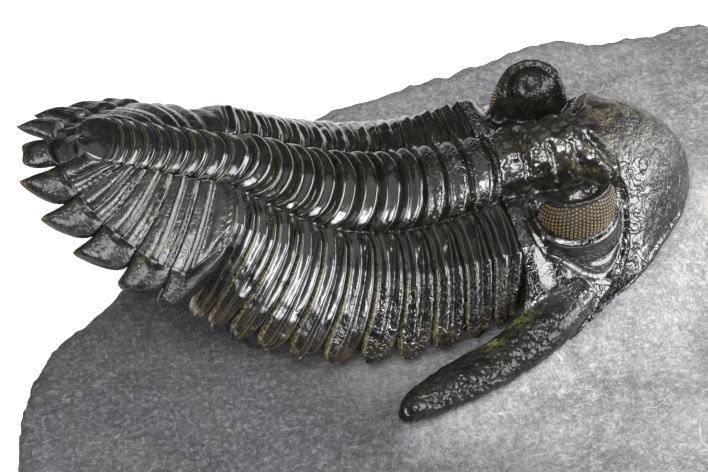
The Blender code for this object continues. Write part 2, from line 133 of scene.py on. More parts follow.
class Roughener:
    """Seeded gradient noise for points in millimetres."""

    def __init__(self, seed: int) -> None:
        """Shuffle the noise's lattice.

        Args:
            seed: Makes this noise differ from the others and stay the same in each run.
        """
        generator = np.random.default_rng(seed)
        self.order = np.tile(generator.permutation(256), 2)
        slopes = generator.normal(size=(256, 3))
        self.slopes = slopes / np.linalg.norm(slopes, axis=1)[:, None]

    def lumps(self, points: np.ndarray, size: float) -> np.ndarray:
        """Smooth lumps, from about -1 to 1.

        Args:
            points: Places, one in a row.
            size: Distance between lumps.

        Returns:
            The noise at each place.
        """
        spots = points / size + 37.2
        cell = np.floor(spots).astype(int)
        inner = spots - cell
        fade = inner**3 * (inner * (inner * 6 - 15) + 10)
        total = np.zeros(len(points))
        for corner in range(8):
            step = np.array([corner & 1, corner >> 1 & 1, corner >> 2])
            spot = (cell + step) & 255
            pick = self.order[self.order[self.order[spot[:, 0]] + spot[:, 1]] + spot[:, 2]]
            weight = np.prod(np.where(step == 1, fade, 1 - fade), axis=1)
            total += weight * np.einsum("ij,ij->i", self.slopes[pick], inner - step)
        return total * 1.6

    def layers(self, points: np.ndarray, size: float, count: int, gain: float = 0.5) -> np.ndarray:
        """Lumps with finer lumps on them.

        Args:
            points: Places, one in a row.
            size: Distance between the largest lumps.
            count: Number of layers, each half as large as the last.
            gain: Height of a layer against the last.

        Returns:
            The noise at each place.
        """
        return sum(gain**k * self.lumps(points + 11.3 * k, size / 2**k) for k in range(count))

    def creases(self, points: np.ndarray, size: float, width: float, wander: float = 0.5) -> np.ndarray:
        """Thin winding grooves, 1 in a groove and 0 away from it.

        Args:
            points: Places, one in a row.
            size: Distance between grooves.
            width: Width of a groove against the distance.
            wander: How far the grooves stray, against the distance.

        Returns:
            The depth of the groove at each place.
        """
        stray = np.stack([self.lumps(points + shift, size * 1.3) for shift in (3.1, 17.7, 31.9)], axis=1)
        return np.exp(-((self.lumps(points + stray * size * wander, size) / width) ** 2))


NOISE = Roughener(11)
NOISE_TWO = Roughener(29)


def quads(rows: int, columns: int, loop: bool = False) -> np.ndarray:
    """Faces of a grid of points kept row after row.

    Args:
        rows: Number of rows.
        columns: Points in a row.
        loop: Whether each row closes on itself.

    Returns:
        Four point numbers for each face.
    """
    last = columns if loop else columns - 1
    row, column = np.meshgrid(np.arange(rows - 1), np.arange(last), indexing="ij")
    row, column = row.ravel(), column.ravel()
    after = (column + 1) % columns
    return np.stack([row * columns + column, row * columns + after, (row + 1) * columns + after,
                     (row + 1) * columns + column], axis=1)


def grid_normals(points: np.ndarray) -> np.ndarray:
    """Unit normals of a grid of points, along the cross product of its first and second directions."""
    first = np.gradient(points, axis=0)
    second = np.gradient(points, axis=1)
    normal = np.cross(first, second)
    return normal / np.maximum(np.linalg.norm(normal, axis=2), 1e-9)[:, :, None]


def new_mesh(name: str, points: np.ndarray, face_sets: Sequence[np.ndarray]) -> bpy.types.Mesh:
    """Mesh of points and faces in whatever unit the points have.

    Args:
        name: The mesh's name.
        points: Places, one in a row.
        face_sets: Arrays of faces, each array with one number of corners.

    Returns:
        The mesh, shaded smooth.
    """
    mesh = bpy.data.meshes.new(name)
    mesh.vertices.add(len(points))
    mesh.vertices.foreach_set("co", np.asarray(points, np.float32).ravel())
    corners = np.concatenate([faces.ravel() for faces in face_sets]).astype(np.int32)
    sizes = np.concatenate([np.full(len(faces), faces.shape[1]) for faces in face_sets])
    starts = np.concatenate(([0], np.cumsum(sizes)[:-1])).astype(np.int32)
    mesh.loops.add(len(corners))
    mesh.loops.foreach_set("vertex_index", corners)
    mesh.polygons.add(len(sizes))
    mesh.polygons.foreach_set("loop_start", starts)
    mesh.update(calc_edges=True)
    mesh.validate()
    mesh.shade_smooth()
    return mesh


def paint(mesh: bpy.types.Mesh, masks: dict[Mask, np.ndarray]) -> None:
    """Write the masks onto the mesh's points."""
    for mask, values in masks.items():
        layer = mesh.attributes.new(mask.value, "FLOAT", "POINT")
        layer.data.foreach_set("value", np.clip(values, 0.0, 1.0).astype(np.float32))


def make_piece(name: str, points: np.ndarray, face_sets: Sequence[np.ndarray], material: bpy.types.Material,
               masks: Optional[dict[Mask, np.ndarray]] = None) -> bpy.types.Object:
    """Visible piece of the fossil, riding on the one body.

    Args:
        name: The piece's name.
        points: Places in the head frame, in millimetres.
        face_sets: Arrays of faces.
        material: Its finish.
        masks: Values painted on the points.

    Returns:
        The new object.
    """
    mesh = new_mesh(name, (points + HEAD_PLACE) * MM, face_sets)
    paint(mesh, masks or {})
    mesh.materials.append(material)
    piece = bpy.data.objects.new(name, mesh)
    bpy.context.scene.collection.objects.link(piece)
    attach(piece, "root")
    LOG.info("%s: %d faces", name, len(mesh.polygons))
    return piece


class Recipe:
    """Node tree of one material, written from its texture coordinates to its shader."""

    def __init__(self, name: str) -> None:
        """Start the material with a Principled shader.

        Args:
            name: The material's name.
        """
        self.material = bpy.data.materials.new(name)
        self.material.use_nodes = True
        self.tree = self.material.node_tree
        self.shader = self.tree.nodes["Principled BSDF"]
        place = self.tree.nodes.new("ShaderNodeTexCoord")
        scaled = self.node("ShaderNodeVectorMath", place.outputs["Object"], operation="SCALE")
        scaled.inputs["Scale"].default_value = 1.0 / MM
        self.millimetres = scaled.outputs[0]

    def node(self, kind: str, *inputs: object, **settings: object) -> bpy.types.Node:
        """Add a node.

        Args:
            kind: Blender's name for the node type.
            inputs: Sockets or plain values for its first inputs; None leaves one alone.
            settings: Properties to set before the inputs are filled.

        Returns:
            The new node.
        """
        made = self.tree.nodes.new(kind)
        for key, value in settings.items():
            setattr(made, key, value)
        for socket, value in zip(made.inputs, inputs):
            self.fill(socket, value)
        return made

    def fill(self, socket: bpy.types.NodeSocket, value: object) -> None:
        """Link a socket, or set its plain value."""
        if isinstance(value, bpy.types.NodeSocket):
            self.tree.links.new(value, socket)
        elif value is not None:
            socket.default_value = value

    def stretched(self, turn: Sequence[float], stretch: Sequence[float]) -> bpy.types.NodeSocket:
        """Coordinates turned by angles in degrees and then stretched along each axis."""
        mapping = self.node("ShaderNodeMapping", self.millimetres)
        mapping.inputs["Rotation"].default_value = [math.radians(angle) for angle in turn]
        mapping.inputs["Scale"].default_value = stretch
        return mapping.outputs[0]

    def noise(self, scale: float, detail: float = 4.0, rough: float = 0.55, warp: float = 0.0,
              place: Optional[bpy.types.NodeSocket] = None) -> bpy.types.NodeSocket:
        """Noise from 0 to 1.

        Args:
            scale: Lumps in a millimetre.
            detail: Layers of finer noise.
            rough: Strength of the finer layers.
            warp: Distortion.
            place: Coordinates in millimetres, or None for the plain ones.

        Returns:
            The noise's value.
        """
        made = self.node("ShaderNodeTexNoise")
        self.fill(made.inputs["Vector"], place or self.millimetres)
        for key, value in (("Scale", scale), ("Detail", detail), ("Roughness", rough), ("Distortion", warp)):
            made.inputs[key].default_value = value
        return made.outputs["Fac"]

    def cells(self, scale: float) -> bpy.types.NodeSocket:
        """Distance to the nearest of scattered points, so many in a millimetre."""
        made = self.node("ShaderNodeTexVoronoi")
        self.fill(made.inputs["Vector"], self.millimetres)
        made.inputs["Scale"].default_value = scale
        return made.outputs["Distance"]

    def span(self, value: object, low: float, high: float, to_low: float = 0.0,
             to_high: float = 1.0) -> bpy.types.NodeSocket:
        """Carry the range low to high onto another, held at its ends."""
        return self.node("ShaderNodeMapRange", value, low, high, to_low, to_high).outputs[0]

    def sums(self, operation: str, first: object, second: object = None) -> bpy.types.NodeSocket:
        """A Math node."""
        return self.node("ShaderNodeMath", first, second, operation=operation).outputs[0]

    def times(self, first: object, second: object) -> bpy.types.NodeSocket:
        """Product of two values."""
        return self.sums("MULTIPLY", first, second)

    def inverse(self, value: object) -> bpy.types.NodeSocket:
        """1 less a value."""
        return self.sums("SUBTRACT", 1.0, value)

    def creases(self, scale: float, width: float, warp: float) -> bpy.types.NodeSocket:
        """Thin winding lines, 1 on a line and 0 away from it."""
        middle = self.sums("SUBTRACT", self.noise(scale, 1.5, 0.5, warp), 0.5)
        return self.span(self.sums("ABSOLUTE", middle), 0.0, width, 1.0, 0.0)

    def mask(self, mask: Mask) -> bpy.types.NodeSocket:
        """The value painted on the mesh."""
        return self.node("ShaderNodeAttribute", attribute_name=mask.value).outputs["Fac"]

    def blend(self, share: object, first: object, second: object, way: str = "MIX") -> bpy.types.NodeSocket:
        """Mix two colours.

        Args:
            share: 0 for the first and 1 for the second.
            first: Colour or socket.
            second: Colour or socket.
            way: MIX, or MULTIPLY to tint the first by the second.

        Returns:
            The mixed colour.
        """
        made = self.node("ShaderNodeMix", data_type="RGBA", clamp_factor=True, blend_type=way)
        for socket, value in zip((made.inputs[0], made.inputs[6], made.inputs[7]), (share, first, second)):
            self.fill(socket, (*value, 1.0) if isinstance(value, tuple) else value)
        return made.outputs[2]

    def bump(self, height: bpy.types.NodeSocket, depth: float,
             normal: Optional[bpy.types.NodeSocket] = None) -> bpy.types.NodeSocket:
        """Tilt the surface by a height map.

        Args:
            height: The height from 0 to 1.
            depth: What 1 stands for, in millimetres.
            normal: Normal to start from.

        Returns:
            The new normal.
        """
        made = self.node("ShaderNodeBump")
        self.fill(made.inputs["Strength"], 1.0)
        self.fill(made.inputs["Distance"], depth * MM)
        self.fill(made.inputs["Height"], height)
        self.fill(made.inputs["Normal"], normal)
        return made.outputs[0]

    def finish(self, colour: object, roughness: object, normal: object, **plain: float) -> bpy.types.Material:
        """Wire up the shader.

        Args:
            colour: Base colour.
            roughness: Roughness.
            normal: Normal, or None.
            plain: Other sockets by name with underscores, each one number.

        Returns:
            The finished material.
        """
        self.fill(self.shader.inputs["Base Color"], colour)
        self.fill(self.shader.inputs["Roughness"], roughness)
        self.fill(self.shader.inputs["Normal"], normal)
        for key, value in plain.items():
            self.shader.inputs[key.replace("_", " ")].default_value = value
        return self.material


@dataclass(frozen=True)
class GlossyShell:
    """Near-black fossil shell with a hard gloss, tan edges, brown patches and fine wrinkles."""

    name: str
    black: tuple[float, float, float] = (0.0038, 0.0036, 0.0032)
    olive: tuple[float, float, float] = (0.0125, 0.0122, 0.0090)
    brown: tuple[float, float, float] = (0.042, 0.029, 0.014)
    tan: tuple[float, float, float] = (0.20, 0.17, 0.095)
    stain: tuple[float, float, float] = (0.16, 0.165, 0.035)
    lens_gap: tuple[float, float, float] = (0.010, 0.007, 0.004)
    polish: tuple[float, float] = (0.08, 0.22)
    tan_roughness: float = 0.18
    dull_roughness: float = 0.26
    matt_roughness: float = 0.11
    specular: tuple[float, float] = (0.5, 0.14)
    refraction: float = 1.66
    grain_depth: float = 0.02
    worm_depth: float = 0.11
    worm_width: float = 0.034
    fine_worm_share: float = 0.7
    pit_depth: float = 0.06
    pits_a_millimetre: float = 2.2
    bead_depth: float = 0.05
    beads_a_millimetre: float = 2.7

    def material(self) -> bpy.types.Material:
        """Build the finish.

        Returns:
            The material.
        """
        recipe = Recipe(self.name)
        mottle = recipe.span(recipe.noise(0.5, 6.0, 0.62, 0.6), 0.42, 0.72)
        colour = recipe.blend(mottle, self.black, self.olive)
        patch = recipe.span(recipe.noise(1.1, 5.0, 0.65, 0.8), 0.38, 0.62)
        colour = recipe.blend(recipe.times(recipe.mask(Mask.BROWN), patch), colour, self.brown)
        fleck = recipe.span(recipe.noise(3.4, 4.0, 0.65), 0.40, 0.62)
        tan = recipe.times(recipe.mask(Mask.TAN), fleck)
        colour = recipe.blend(tan, colour, self.tan)
        crust = recipe.span(recipe.noise(2.2, 4.0, 0.7), 0.42, 0.62)
        colour = recipe.blend(recipe.times(recipe.mask(Mask.STAIN), crust), colour, self.stain)
        colour = recipe.blend(recipe.mask(Mask.LENS), colour, self.lens_gap)

        shine = recipe.span(recipe.noise(0.8, 5.0, 0.6), 0.35, 0.7, *self.polish)
        for share, roughness in ((tan, self.tan_roughness), (recipe.mask(Mask.DULL), self.dull_roughness),
                                 (recipe.mask(Mask.MATT), self.matt_roughness)):
            shine = recipe.sums("ADD", shine, recipe.times(share, roughness))
        level = recipe.span(recipe.mask(Mask.MATT), 0.0, 1.0, *self.specular)
        recipe.fill(recipe.shader.inputs["Specular IOR Level"], level)

        normal = recipe.bump(recipe.noise(2.4, 3.0, 0.5), self.grain_depth)
        fine = recipe.times(recipe.creases(1.15, self.worm_width, 1.0), self.fine_worm_share)
        lines = recipe.sums("MAXIMUM", recipe.creases(0.58, self.worm_width, 1.4), fine)
        worms = recipe.inverse(recipe.times(lines, recipe.mask(Mask.WORMS)))
        normal = recipe.bump(worms, self.worm_depth, normal)
        holes = recipe.span(recipe.cells(self.pits_a_millimetre), 0.0, 0.5, 1.0, 0.0)
        pits = recipe.inverse(recipe.times(holes, recipe.mask(Mask.PITS)))
        normal = recipe.bump(pits, self.pit_depth, normal)
        grains = recipe.span(recipe.cells(self.beads_a_millimetre), 0.0, 0.55, 1.0, 0.0)
        normal = recipe.bump(recipe.times(grains, recipe.mask(Mask.BEADS)), self.bead_depth, normal)
        return recipe.finish(colour, shine, normal, IOR=self.refraction)


@dataclass(frozen=True)
class LensFinish:
    """Golden calcite lenses, gold to pale at random, darkened to brown towards each lens's foot as painted
    shade.
    """

    name: str = "eye_lens_calcite"
    # Painted shade: the dark brown at each lens's foot stands in for the shading round the dome.
    foot: tuple[float, float, float] = (0.030, 0.018, 0.008)
    gold: tuple[float, float, float] = (0.036, 0.026, 0.009)
    pale: tuple[float, float, float] = (0.105, 0.080, 0.031)
    roughness: float = 0.2
    refraction: float = 1.47

    def material(self) -> bpy.types.Material:
        """Build the finish.

        Returns:
            The material.
        """
        recipe = Recipe(self.name)
        dome = recipe.mask(Mask.DOME)
        drift = recipe.span(recipe.noise(0.7, 3.0, 0.6), 0.35, 0.68)
        gold = recipe.blend(drift, self.gold, self.pale)
        # Painted shade: the colour darkens from gold to brown towards each dome's foot.
        colour = recipe.blend(recipe.span(dome, 0.1, 0.75), self.foot, gold)
        normal = recipe.bump(recipe.noise(9.0, 2.0), 0.01)
        return recipe.finish(colour, self.roughness, normal, IOR=self.refraction)


@dataclass(frozen=True)
class Limestone:
    """Blue-grey mottled limestone with grain, fine scratches and pale veins, darkened where a mask says:
    partly a darker rock tone, partly painted shade.
    """

    name: str = "blue_grey_limestone"
    dark: tuple[float, float, float] = (0.085, 0.087, 0.092)
    middle: tuple[float, float, float] = (0.222, 0.224, 0.230)
    light: tuple[float, float, float] = (0.40, 0.40, 0.403)
    warm: tuple[float, float, float] = (0.29, 0.272, 0.24)
    vein: tuple[float, float, float] = (0.60, 0.60, 0.58)
    # Tint multiplied in by the dark-end mask: partly the rock's darker tone, partly painted shade.
    tone_and_shade: tuple[float, float, float] = (0.285, 0.295, 0.31)
    dark_fleck: tuple[float, float, float] = (0.022, 0.023, 0.026)
    light_fleck: tuple[float, float, float] = (0.21, 0.215, 0.225)
    grain_depth: float = 0.06
    scratch_turns: tuple[float, ...] = (12.0, 47.0, 98.0, 149.0)
    scratch_share: float = 0.38
    vein_share: float = 0.6
    refraction: float = 1.5

    def scratches(self, recipe: Recipe) -> bpy.types.NodeSocket:
        """Short straight scratches in a few directions.

        Args:
            recipe: The node tree that they belong to.

        Returns:
            1 on a scratch and 0 away from it.
        """
        found = None
        for turn in self.scratch_turns:
            place = recipe.stretched((0.0, 0.0, turn), (0.35, 5.0, 1.0))
            line = recipe.span(recipe.noise(1.0, 2.0, 0.5, 0.2, place), 0.66, 0.78)
            found = line if found is None else recipe.sums("MAXIMUM", found, line)
        return found

    def material(self) -> bpy.types.Material:
        """Build the finish.

        Returns:
            The material.
        """
        recipe = Recipe(self.name)
        cloud = recipe.noise(0.09, 5.0, 0.6, 0.4)
        mottle = recipe.noise(0.55, 7.0, 0.68, 0.3)
        speck = recipe.noise(1.7, 6.0, 0.78, 0.4)
        warmth = recipe.noise(0.14, 3.0)
        grain = recipe.noise(4.5, 4.0, 0.7)
        scratches = self.scratches(recipe)
        few = recipe.span(recipe.noise(0.10, 2.0), 0.56, 0.62)
        veins = recipe.times(recipe.creases(0.11, 0.004, 0.9), few)
        colour = recipe.blend(recipe.span(cloud, 0.34, 0.66), self.dark, self.middle)
        for share, tone in (
                (recipe.span(mottle, 0.45, 0.72, 0.0, 0.42), self.light),
                (recipe.span(speck, 0.51, 0.36, 0.0, 0.9), self.dark),
                (recipe.span(speck, 0.53, 0.68, 0.0, 0.9), self.light),
                (recipe.span(warmth, 0.52, 0.75, 0.0, 0.55), self.warm),
                (recipe.span(grain, 0.52, 0.76, 0.0, 0.8), self.light),
                (recipe.span(grain, 0.47, 0.24, 0.0, 0.9), self.dark),
                (recipe.times(scratches, self.scratch_share), self.vein),
                (recipe.times(veins, self.vein_share), self.vein)):
            colour = recipe.blend(share, colour, tone)
        # Painted shade, partly a darker tone of the rock: the colour is multiplied down by the dark-end mask,
        # with flecks kept in that area.
        tone_and_shade = recipe.mask(Mask.DARK_END_AND_SHADE)
        colour = recipe.blend(tone_and_shade, colour, self.tone_and_shade, "MULTIPLY")
        fleck = recipe.noise(2.3, 5.0, 0.75, 0.5)
        for low, high, tone in ((0.50, 0.36, self.dark_fleck), (0.53, 0.70, self.light_fleck)):
            colour = recipe.blend(recipe.times(recipe.span(fleck, low, high, 0.0, 0.75), tone_and_shade), colour, tone)
        normal = None
        for height, depth in ((grain, 2.0), (speck, 3.0), (mottle, 5.0), (recipe.inverse(scratches), 0.6)):
            normal = recipe.bump(height, self.grain_depth * depth, normal)
        rough = recipe.span(mottle, 0.3, 0.7, 0.62, 0.85)
        return recipe.finish(colour, rough, normal, IOR=self.refraction)


@dataclass(frozen=True)
class PaleCard:
    """Plain matt card under the fossil."""

    name: str = "pale_card"
    colour: tuple[float, float, float] = (0.96, 0.96, 0.96)
    fibre_shade: float = 0.97
    roughness: float = 0.9

    def material(self) -> bpy.types.Material:
        """Build the finish.

        Returns:
            The material.
        """
        recipe = Recipe(self.name)
        fibre = recipe.noise(0.8, 3.0)
        shade = tuple(part * self.fibre_shade for part in self.colour)
        colour = recipe.blend(fibre, shade, self.colour)
        return recipe.finish(colour, self.roughness, recipe.bump(fibre, 0.02))


@dataclass
class BackCurve:
    """The line of the back, which sags behind the head and rises again, and what hangs on it."""

    segments: int = 11
    segment_length: float = 2.32
    bend_most: float = 8.2
    bend_fall: float = 66.0
    bend_middle: float = 0.51
    swing_front: float = 2.5
    swing_change: float = -3.5
    head_lean: float = 3.6
    steps: int = 24

    def __post_init__(self) -> None:
        """Walk along the back and keep the place and axes at each step."""
        self.length = self.segments * self.segment_length
        place = Vector((0.0, 0.0, 0.0))
        axes = Matrix.Rotation(math.radians(-self.head_lean), 3, "X")
        self.lean = np.array(axes)
        count = self.segments * self.steps
        places, all_axes = [list(place)], [np.array(axes)]
        for step in range(count):
            part = (step + 0.5) / count
            bend = (self.bend_most - self.bend_fall * (part - self.bend_middle) ** 2) / self.steps
            swing = (self.swing_front + self.swing_change * part) / self.steps
            upright = 2.0 * self.head_lean * (1.0 - part) / count
            for angle, axis in ((bend, "Y"), (-swing, "Z"), (upright, "X")):
                axes = axes @ Matrix.Rotation(math.radians(angle), 3, axis)
            place = place - axes.col[0] * (self.segment_length / self.steps)
            places.append(list(place))
            all_axes.append(np.array(axes))
        self.places = np.array(places)
        self.axes = np.array(all_axes)

    def bend(self, straight: np.ndarray) -> np.ndarray:
        """Carry points of the straight body onto the bent one.

        Args:
            straight: Distance behind the head, side and height, along the last dimension.

        Returns:
            The points in the head frame, in the same arrangement.
        """
        behind, side, height = (straight[..., k] for k in range(3))
        spot = behind / self.segment_length * self.steps
        index = np.clip(np.floor(spot).astype(int), 0, len(self.places) - 2)
        part = np.clip(spot - index, 0.0, 1.0)[..., None]
        beyond = behind - np.clip(behind, 0.0, self.length)
        place = self.places[index] * (1 - part) + self.places[index + 1] * part
        axes = self.axes[index] * (1 - part[..., None]) + self.axes[index + 1] * part[..., None]
        return (place - axes[..., 0] * beyond[..., None] + axes[..., 1] * side[..., None]
                + axes[..., 2] * height[..., None])

    def on_head(self, points: np.ndarray) -> np.ndarray:
        """Lean points with the head."""
        return points @ self.lean.T


@dataclass
class BodySection:
    """Cross-section of the thorax, each size given at its front, middle and rear."""

    axis_half_width: tuple[float, float, float] = (3.70, 4.50, 2.80)
    axis_height: tuple[float, float, float] = (2.70, 2.50, 2.20)
    fulcrum_side: tuple[float, float, float] = (10.0, 8.45, 6.80)
    fulcrum_height: tuple[float, float, float] = (-0.30, -0.50, -0.15)
    tip_side: tuple[float, float, float] = (11.85, 14.25, 11.0)
    tip_height: tuple[float, float, float] = (-6.90, -7.10, -8.90)
    tip_sweep: float = 1.25
    inner_swell: float = 0.45
    shoulder_out: float = 0.62
    shoulder_drop: float = 0.28
    furrow_blend: float = 0.09

    def surface(self, part: np.ndarray, across: np.ndarray) -> tuple[np.ndarray, np.ndarray]:
        """Side and height of the plain outer surface.

        Args:
            part: 0 at the front of the thorax and 1 at its rear.
            across: 0 on the middle line, 1 at the axial furrow, 2 at the fulcrum and 3 at the tip, negative
                on the animal's right.

        Returns:
            Side and height.
        """
        sign = np.where(across < 0, -1.0, 1.0)
        run = np.abs(across)
        axis = bow(self.axis_half_width, part)
        fulcrum_y, fulcrum_z = bow(self.fulcrum_side, part), bow(self.fulcrum_height, part)
        tip_y, tip_z = bow(self.tip_side, part), bow(self.tip_height, part)
        angle = np.clip(run, 0.0, 1.0) * math.pi / 2
        inner = np.clip(run - 1.0, 0.0, 1.0)
        outer = np.clip(run - 2.0, 0.0, 1.0)
        shoulder_y = fulcrum_y + (tip_y - fulcrum_y) * self.shoulder_out
        shoulder_z = fulcrum_z + (tip_z - fulcrum_z) * self.shoulder_drop
        rest = 1.0 - outer
        flank_y, flank_z = (
            start * rest**2 + shoulder * 2 * outer * rest + tip * outer**2
            for start, shoulder, tip in ((fulcrum_y, shoulder_y, tip_y), (fulcrum_z, shoulder_z, tip_z)))
        side = np.where(run <= 1.0, axis * np.sin(angle), axis + (fulcrum_y - axis) * inner)
        height = np.where(run <= 1.0, bow(self.axis_height, part) * np.cos(angle),
                          fulcrum_z * inner + self.inner_swell * np.sin(math.pi * inner**0.8))
        side = np.where(run > 2.0, flank_y, side)
        height = np.where(run > 2.0, flank_z, height)
        return sign * side, height

    def normal(self, part: np.ndarray, across: np.ndarray) -> tuple[np.ndarray, np.ndarray]:
        """Outward direction, blended over the furrows.

        Args:
            part: 0 at the front of the thorax and 1 at its rear.
            across: Place across the body, as in surface.

        Returns:
            Its share to the side and its share upwards.
        """
        before = self.surface(part, np.clip(across - self.furrow_blend, -3.0, 3.0))
        after = self.surface(part, np.clip(across + self.furrow_blend, -3.0, 3.0))
        along_y, along_z = after[0] - before[0], after[1] - before[1]
        size = np.hypot(along_y, along_z)
        return -along_z / size, along_y / size

    def sweep(self, across: np.ndarray) -> np.ndarray:
        """How far the outer part of a segment is swept back."""
        return self.tip_sweep * np.maximum(np.abs(across) - 2.0, 0.0) ** 1.4


BACK = BackCurve()
SECTION = BodySection()


def shell_points(behind: np.ndarray, across: np.ndarray, lift: np.ndarray) -> np.ndarray:
    """Points of the thorax's shell.

    Args:
        behind: Distance behind the head.
        across: Place across the body.
        lift: Height above the plain outer surface.

    Returns:
        The points in the head frame.
    """
    part = np.clip(behind / BACK.length, 0.0, 1.0)
    side, height = SECTION.surface(part, across)
    out_side, out_height = SECTION.normal(part, across)
    back = behind + SECTION.sweep(across)
    return BACK.bend(np.stack([back, side + out_side * lift, height + out_height * lift], axis=-1))


@dataclass
class HeadForm:
    """Plain form of the head shield, as heights over its plan."""

    front: float = 19.9
    margin_curve: float = 0.31
    margin_drop: float = 8.0
    margin_lift: float = 1.8
    flank_rounding: tuple[float, float] = (1.9, 2.6)
    flank_flare: tuple[float, float] = (0.45, 0.15)
    cheek_rise: float = 8.9
    cheek_slope: float = 3.2
    genal_side: float = 14.8
    glabella_furrows: tuple[tuple[float, float, float, float], ...] = (
        (4.9, 0.30, 0.34, 0.65), (6.8, 0.36, 0.30, 0.50), (8.3, 0.62, 0.36, 0.75))

    def margin_x(self, side: np.ndarray) -> np.ndarray:
        """Front edge at a distance from the middle line, blunter at the snout and fuller at the cheeks."""
        side = np.abs(side)
        sweep = self.margin_curve * ((side**2 + 4.0) ** 0.75 - 4.0**0.75)
        return self.front - sweep - 0.35 * (1.0 - smooth_step(2.8, 5.0, side)) + 1.4 * bell(side, 11.6, 3.4)

    def margin_z(self, x: np.ndarray) -> np.ndarray:
        """Height of the edge, which lies higher along the front than at the cheek's corners."""
        return -self.margin_drop + self.margin_lift * smooth_step(3.0, 9.0, x)

    def margin_side(self, x: np.ndarray) -> np.ndarray:
        """Distance of the edge from the middle line at a place along the head."""
        sides = np.linspace(0.0, 16.0, 320)
        return np.interp(x, self.margin_x(sides)[::-1], sides[::-1])

    def rear_x(self, side: np.ndarray) -> np.ndarray:
        """Rear edge at a distance from the middle line."""
        neck_bow = 0.40 * np.maximum(1.0 - (side / 3.7) ** 2, 0.0)
        return neck_bow - 0.16 - 0.10 * np.maximum(np.abs(side) - 10.0, 0.0) ** 2

    def half_width(self, x: np.ndarray) -> np.ndarray:
        """Half width of the glabella."""
        width = 3.6 + 3.9 * smooth_step(6.0, 14.0, x)
        round_front = np.sqrt(np.maximum(1.0 - (np.maximum(x - 14.0, 0.0) / 7.2) ** 2, 0.0))
        return width * round_front

    def crest(self, x: np.ndarray) -> np.ndarray:
        """Height of the glabella along the middle line."""
        rear = 4.2 - 0.018 * (8.0 - x) ** 2
        reach = np.clip((x - 8.0) / (self.margin_x(0.0) - 8.0), 0.0, 1.0)
        foot = self.margin_z(x)
        return np.where(x < 8.0, rear, foot + (4.2 - foot) * np.sqrt(1.0 - reach**2.4))

    def cheek(self, x: np.ndarray, y: np.ndarray) -> np.ndarray:
        """Height of the cheek, which climbs from the margin and falls away at the corners.

        Args:
            x: Distance in front of the head's rear edge.
            y: Distance to the animal's left.

        Returns:
            The height.
        """
        to_margin = np.maximum(self.margin_x(y) - x, 0.0) / np.sqrt(1.0 + 0.245 * np.abs(y))
        near_margin = smooth_step(2.0, 5.0, np.abs(y))
        climb = to_margin / self.cheek_slope
        climb = climb * (1.0 - near_margin) + (0.9 * climb) ** 1.25 * near_margin
        height = -self.margin_drop + self.cheek_rise * (1.0 - np.exp(-climb))
        corner = smooth_step(9.6, 13.0, np.abs(y)) * (1.0 - smooth_step(0.0, 4.5, x - self.rear_x(y)))
        return np.maximum(height - 2.6 * corner, -self.margin_drop)

    def frontal(self, x: np.ndarray, y: np.ndarray) -> np.ndarray:
        """Height of the front of the head, one swelling from the crest down to the margin."""
        foot = self.margin_z(x)
        share = np.clip(np.abs(y) / np.maximum(self.margin_side(x), 0.05), 0.0, 1.0)
        rounding = np.where(y < 0, *self.flank_rounding)
        flare = np.where(y < 0, *self.flank_flare)
        return foot + (self.crest(x) - foot) * (1.0 - share**rounding) * (1.0 - flare * share**3)

    def height(self, x: np.ndarray, y: np.ndarray) -> np.ndarray:
        """Height of the head without its eyes and fine relief.

        Args:
            x: Distance in front of the head's rear edge.
            y: Distance to the animal's left.

        Returns:
            The height.
        """
        side = np.abs(y)
        cheek = self.cheek(x, y)
        width = self.half_width(x)
        across = np.clip(side / np.maximum(width, 0.01), 0.0, 1.0)
        raised = np.maximum(self.crest(x) - cheek, 0.0) * (1.0 - across**2.5) ** 0.6
        ahead = smooth_step(7.5, 11.0, x)
        height = (cheek + raised) * (1.0 - ahead) + self.frontal(x, y) * ahead
        height -= 0.7 * np.exp(-(((side - width) / 0.7) ** 2)) * (1.0 - smooth_step(9.5, 12.5, x))
        neck_line = 2.75 - 0.25 * np.minimum(side / 3.6, 1.0)
        height -= 0.75 * np.exp(-(((x - neck_line) / 0.38) ** 2)) * (1.0 - smooth_step(3.6, 4.6, side))
        border = 0.7 * np.exp(-(((x - 2.5) / 0.65) ** 2)) * smooth_step(4.0, 6.0, side)
        roll = 0.35 * bell(x, 0.9, 0.75) * smooth_step(4.0, 6.0, side)
        height += (roll - border) * (1.0 - smooth_step(11.0, 13.5, side))
        for start, slant, wide, deep in self.glabella_furrows:
            line = start + slant * np.maximum(side - 1.2, 0.0)
            reach = smooth_step(0.7, 2.0, side) * (1.0 - smooth_step(3.9, 4.9, side))
            height -= deep * np.exp(-(((x - line) / wide) ** 2)) * reach
        return height

    def solid(self) -> tuple[np.ndarray, np.ndarray]:
        """Closed body under the head's surface, with its foot sunk in the rock.

        Returns:
            Points and faces.
        """
        sides = np.linspace(-self.genal_side, self.genal_side, 300)
        rows = np.linspace(0.0, 1.0, 190)
        y, row = np.meshgrid(sides, rows, indexing="ij")
        rear, front = self.rear_x(y), self.margin_x(y)
        x = rear + (front - rear) * row
        top = np.stack([x, y, np.maximum(self.height(x, y), self.margin_z(x) + 0.25)], axis=-1)
        foot = np.stack([x[:, ::-1], y, np.full(x.shape, -self.margin_drop - 1.6)], axis=-1)
        loops = np.concatenate([top, foot[:, ::19]], axis=1)
        return close_loft(loops)


def close_loft(loops: np.ndarray) -> tuple[np.ndarray, np.ndarray]:
    """Closed body through loops of points, its two ends drawn together to their middles.

    Args:
        loops: Grid of points, one closed loop in a row.

    Returns:
        Points and faces.
    """
    rows, size = loops.shape[:2]
    start, end = loops[0].mean(axis=0), loops[-1].mean(axis=0)
    capped = np.concatenate([np.broadcast_to(start, (1, size, 3)), loops, np.broadcast_to(end, (1, size, 3))])
    return capped.reshape(-1, 3), quads(rows + 2, size, loop=True)


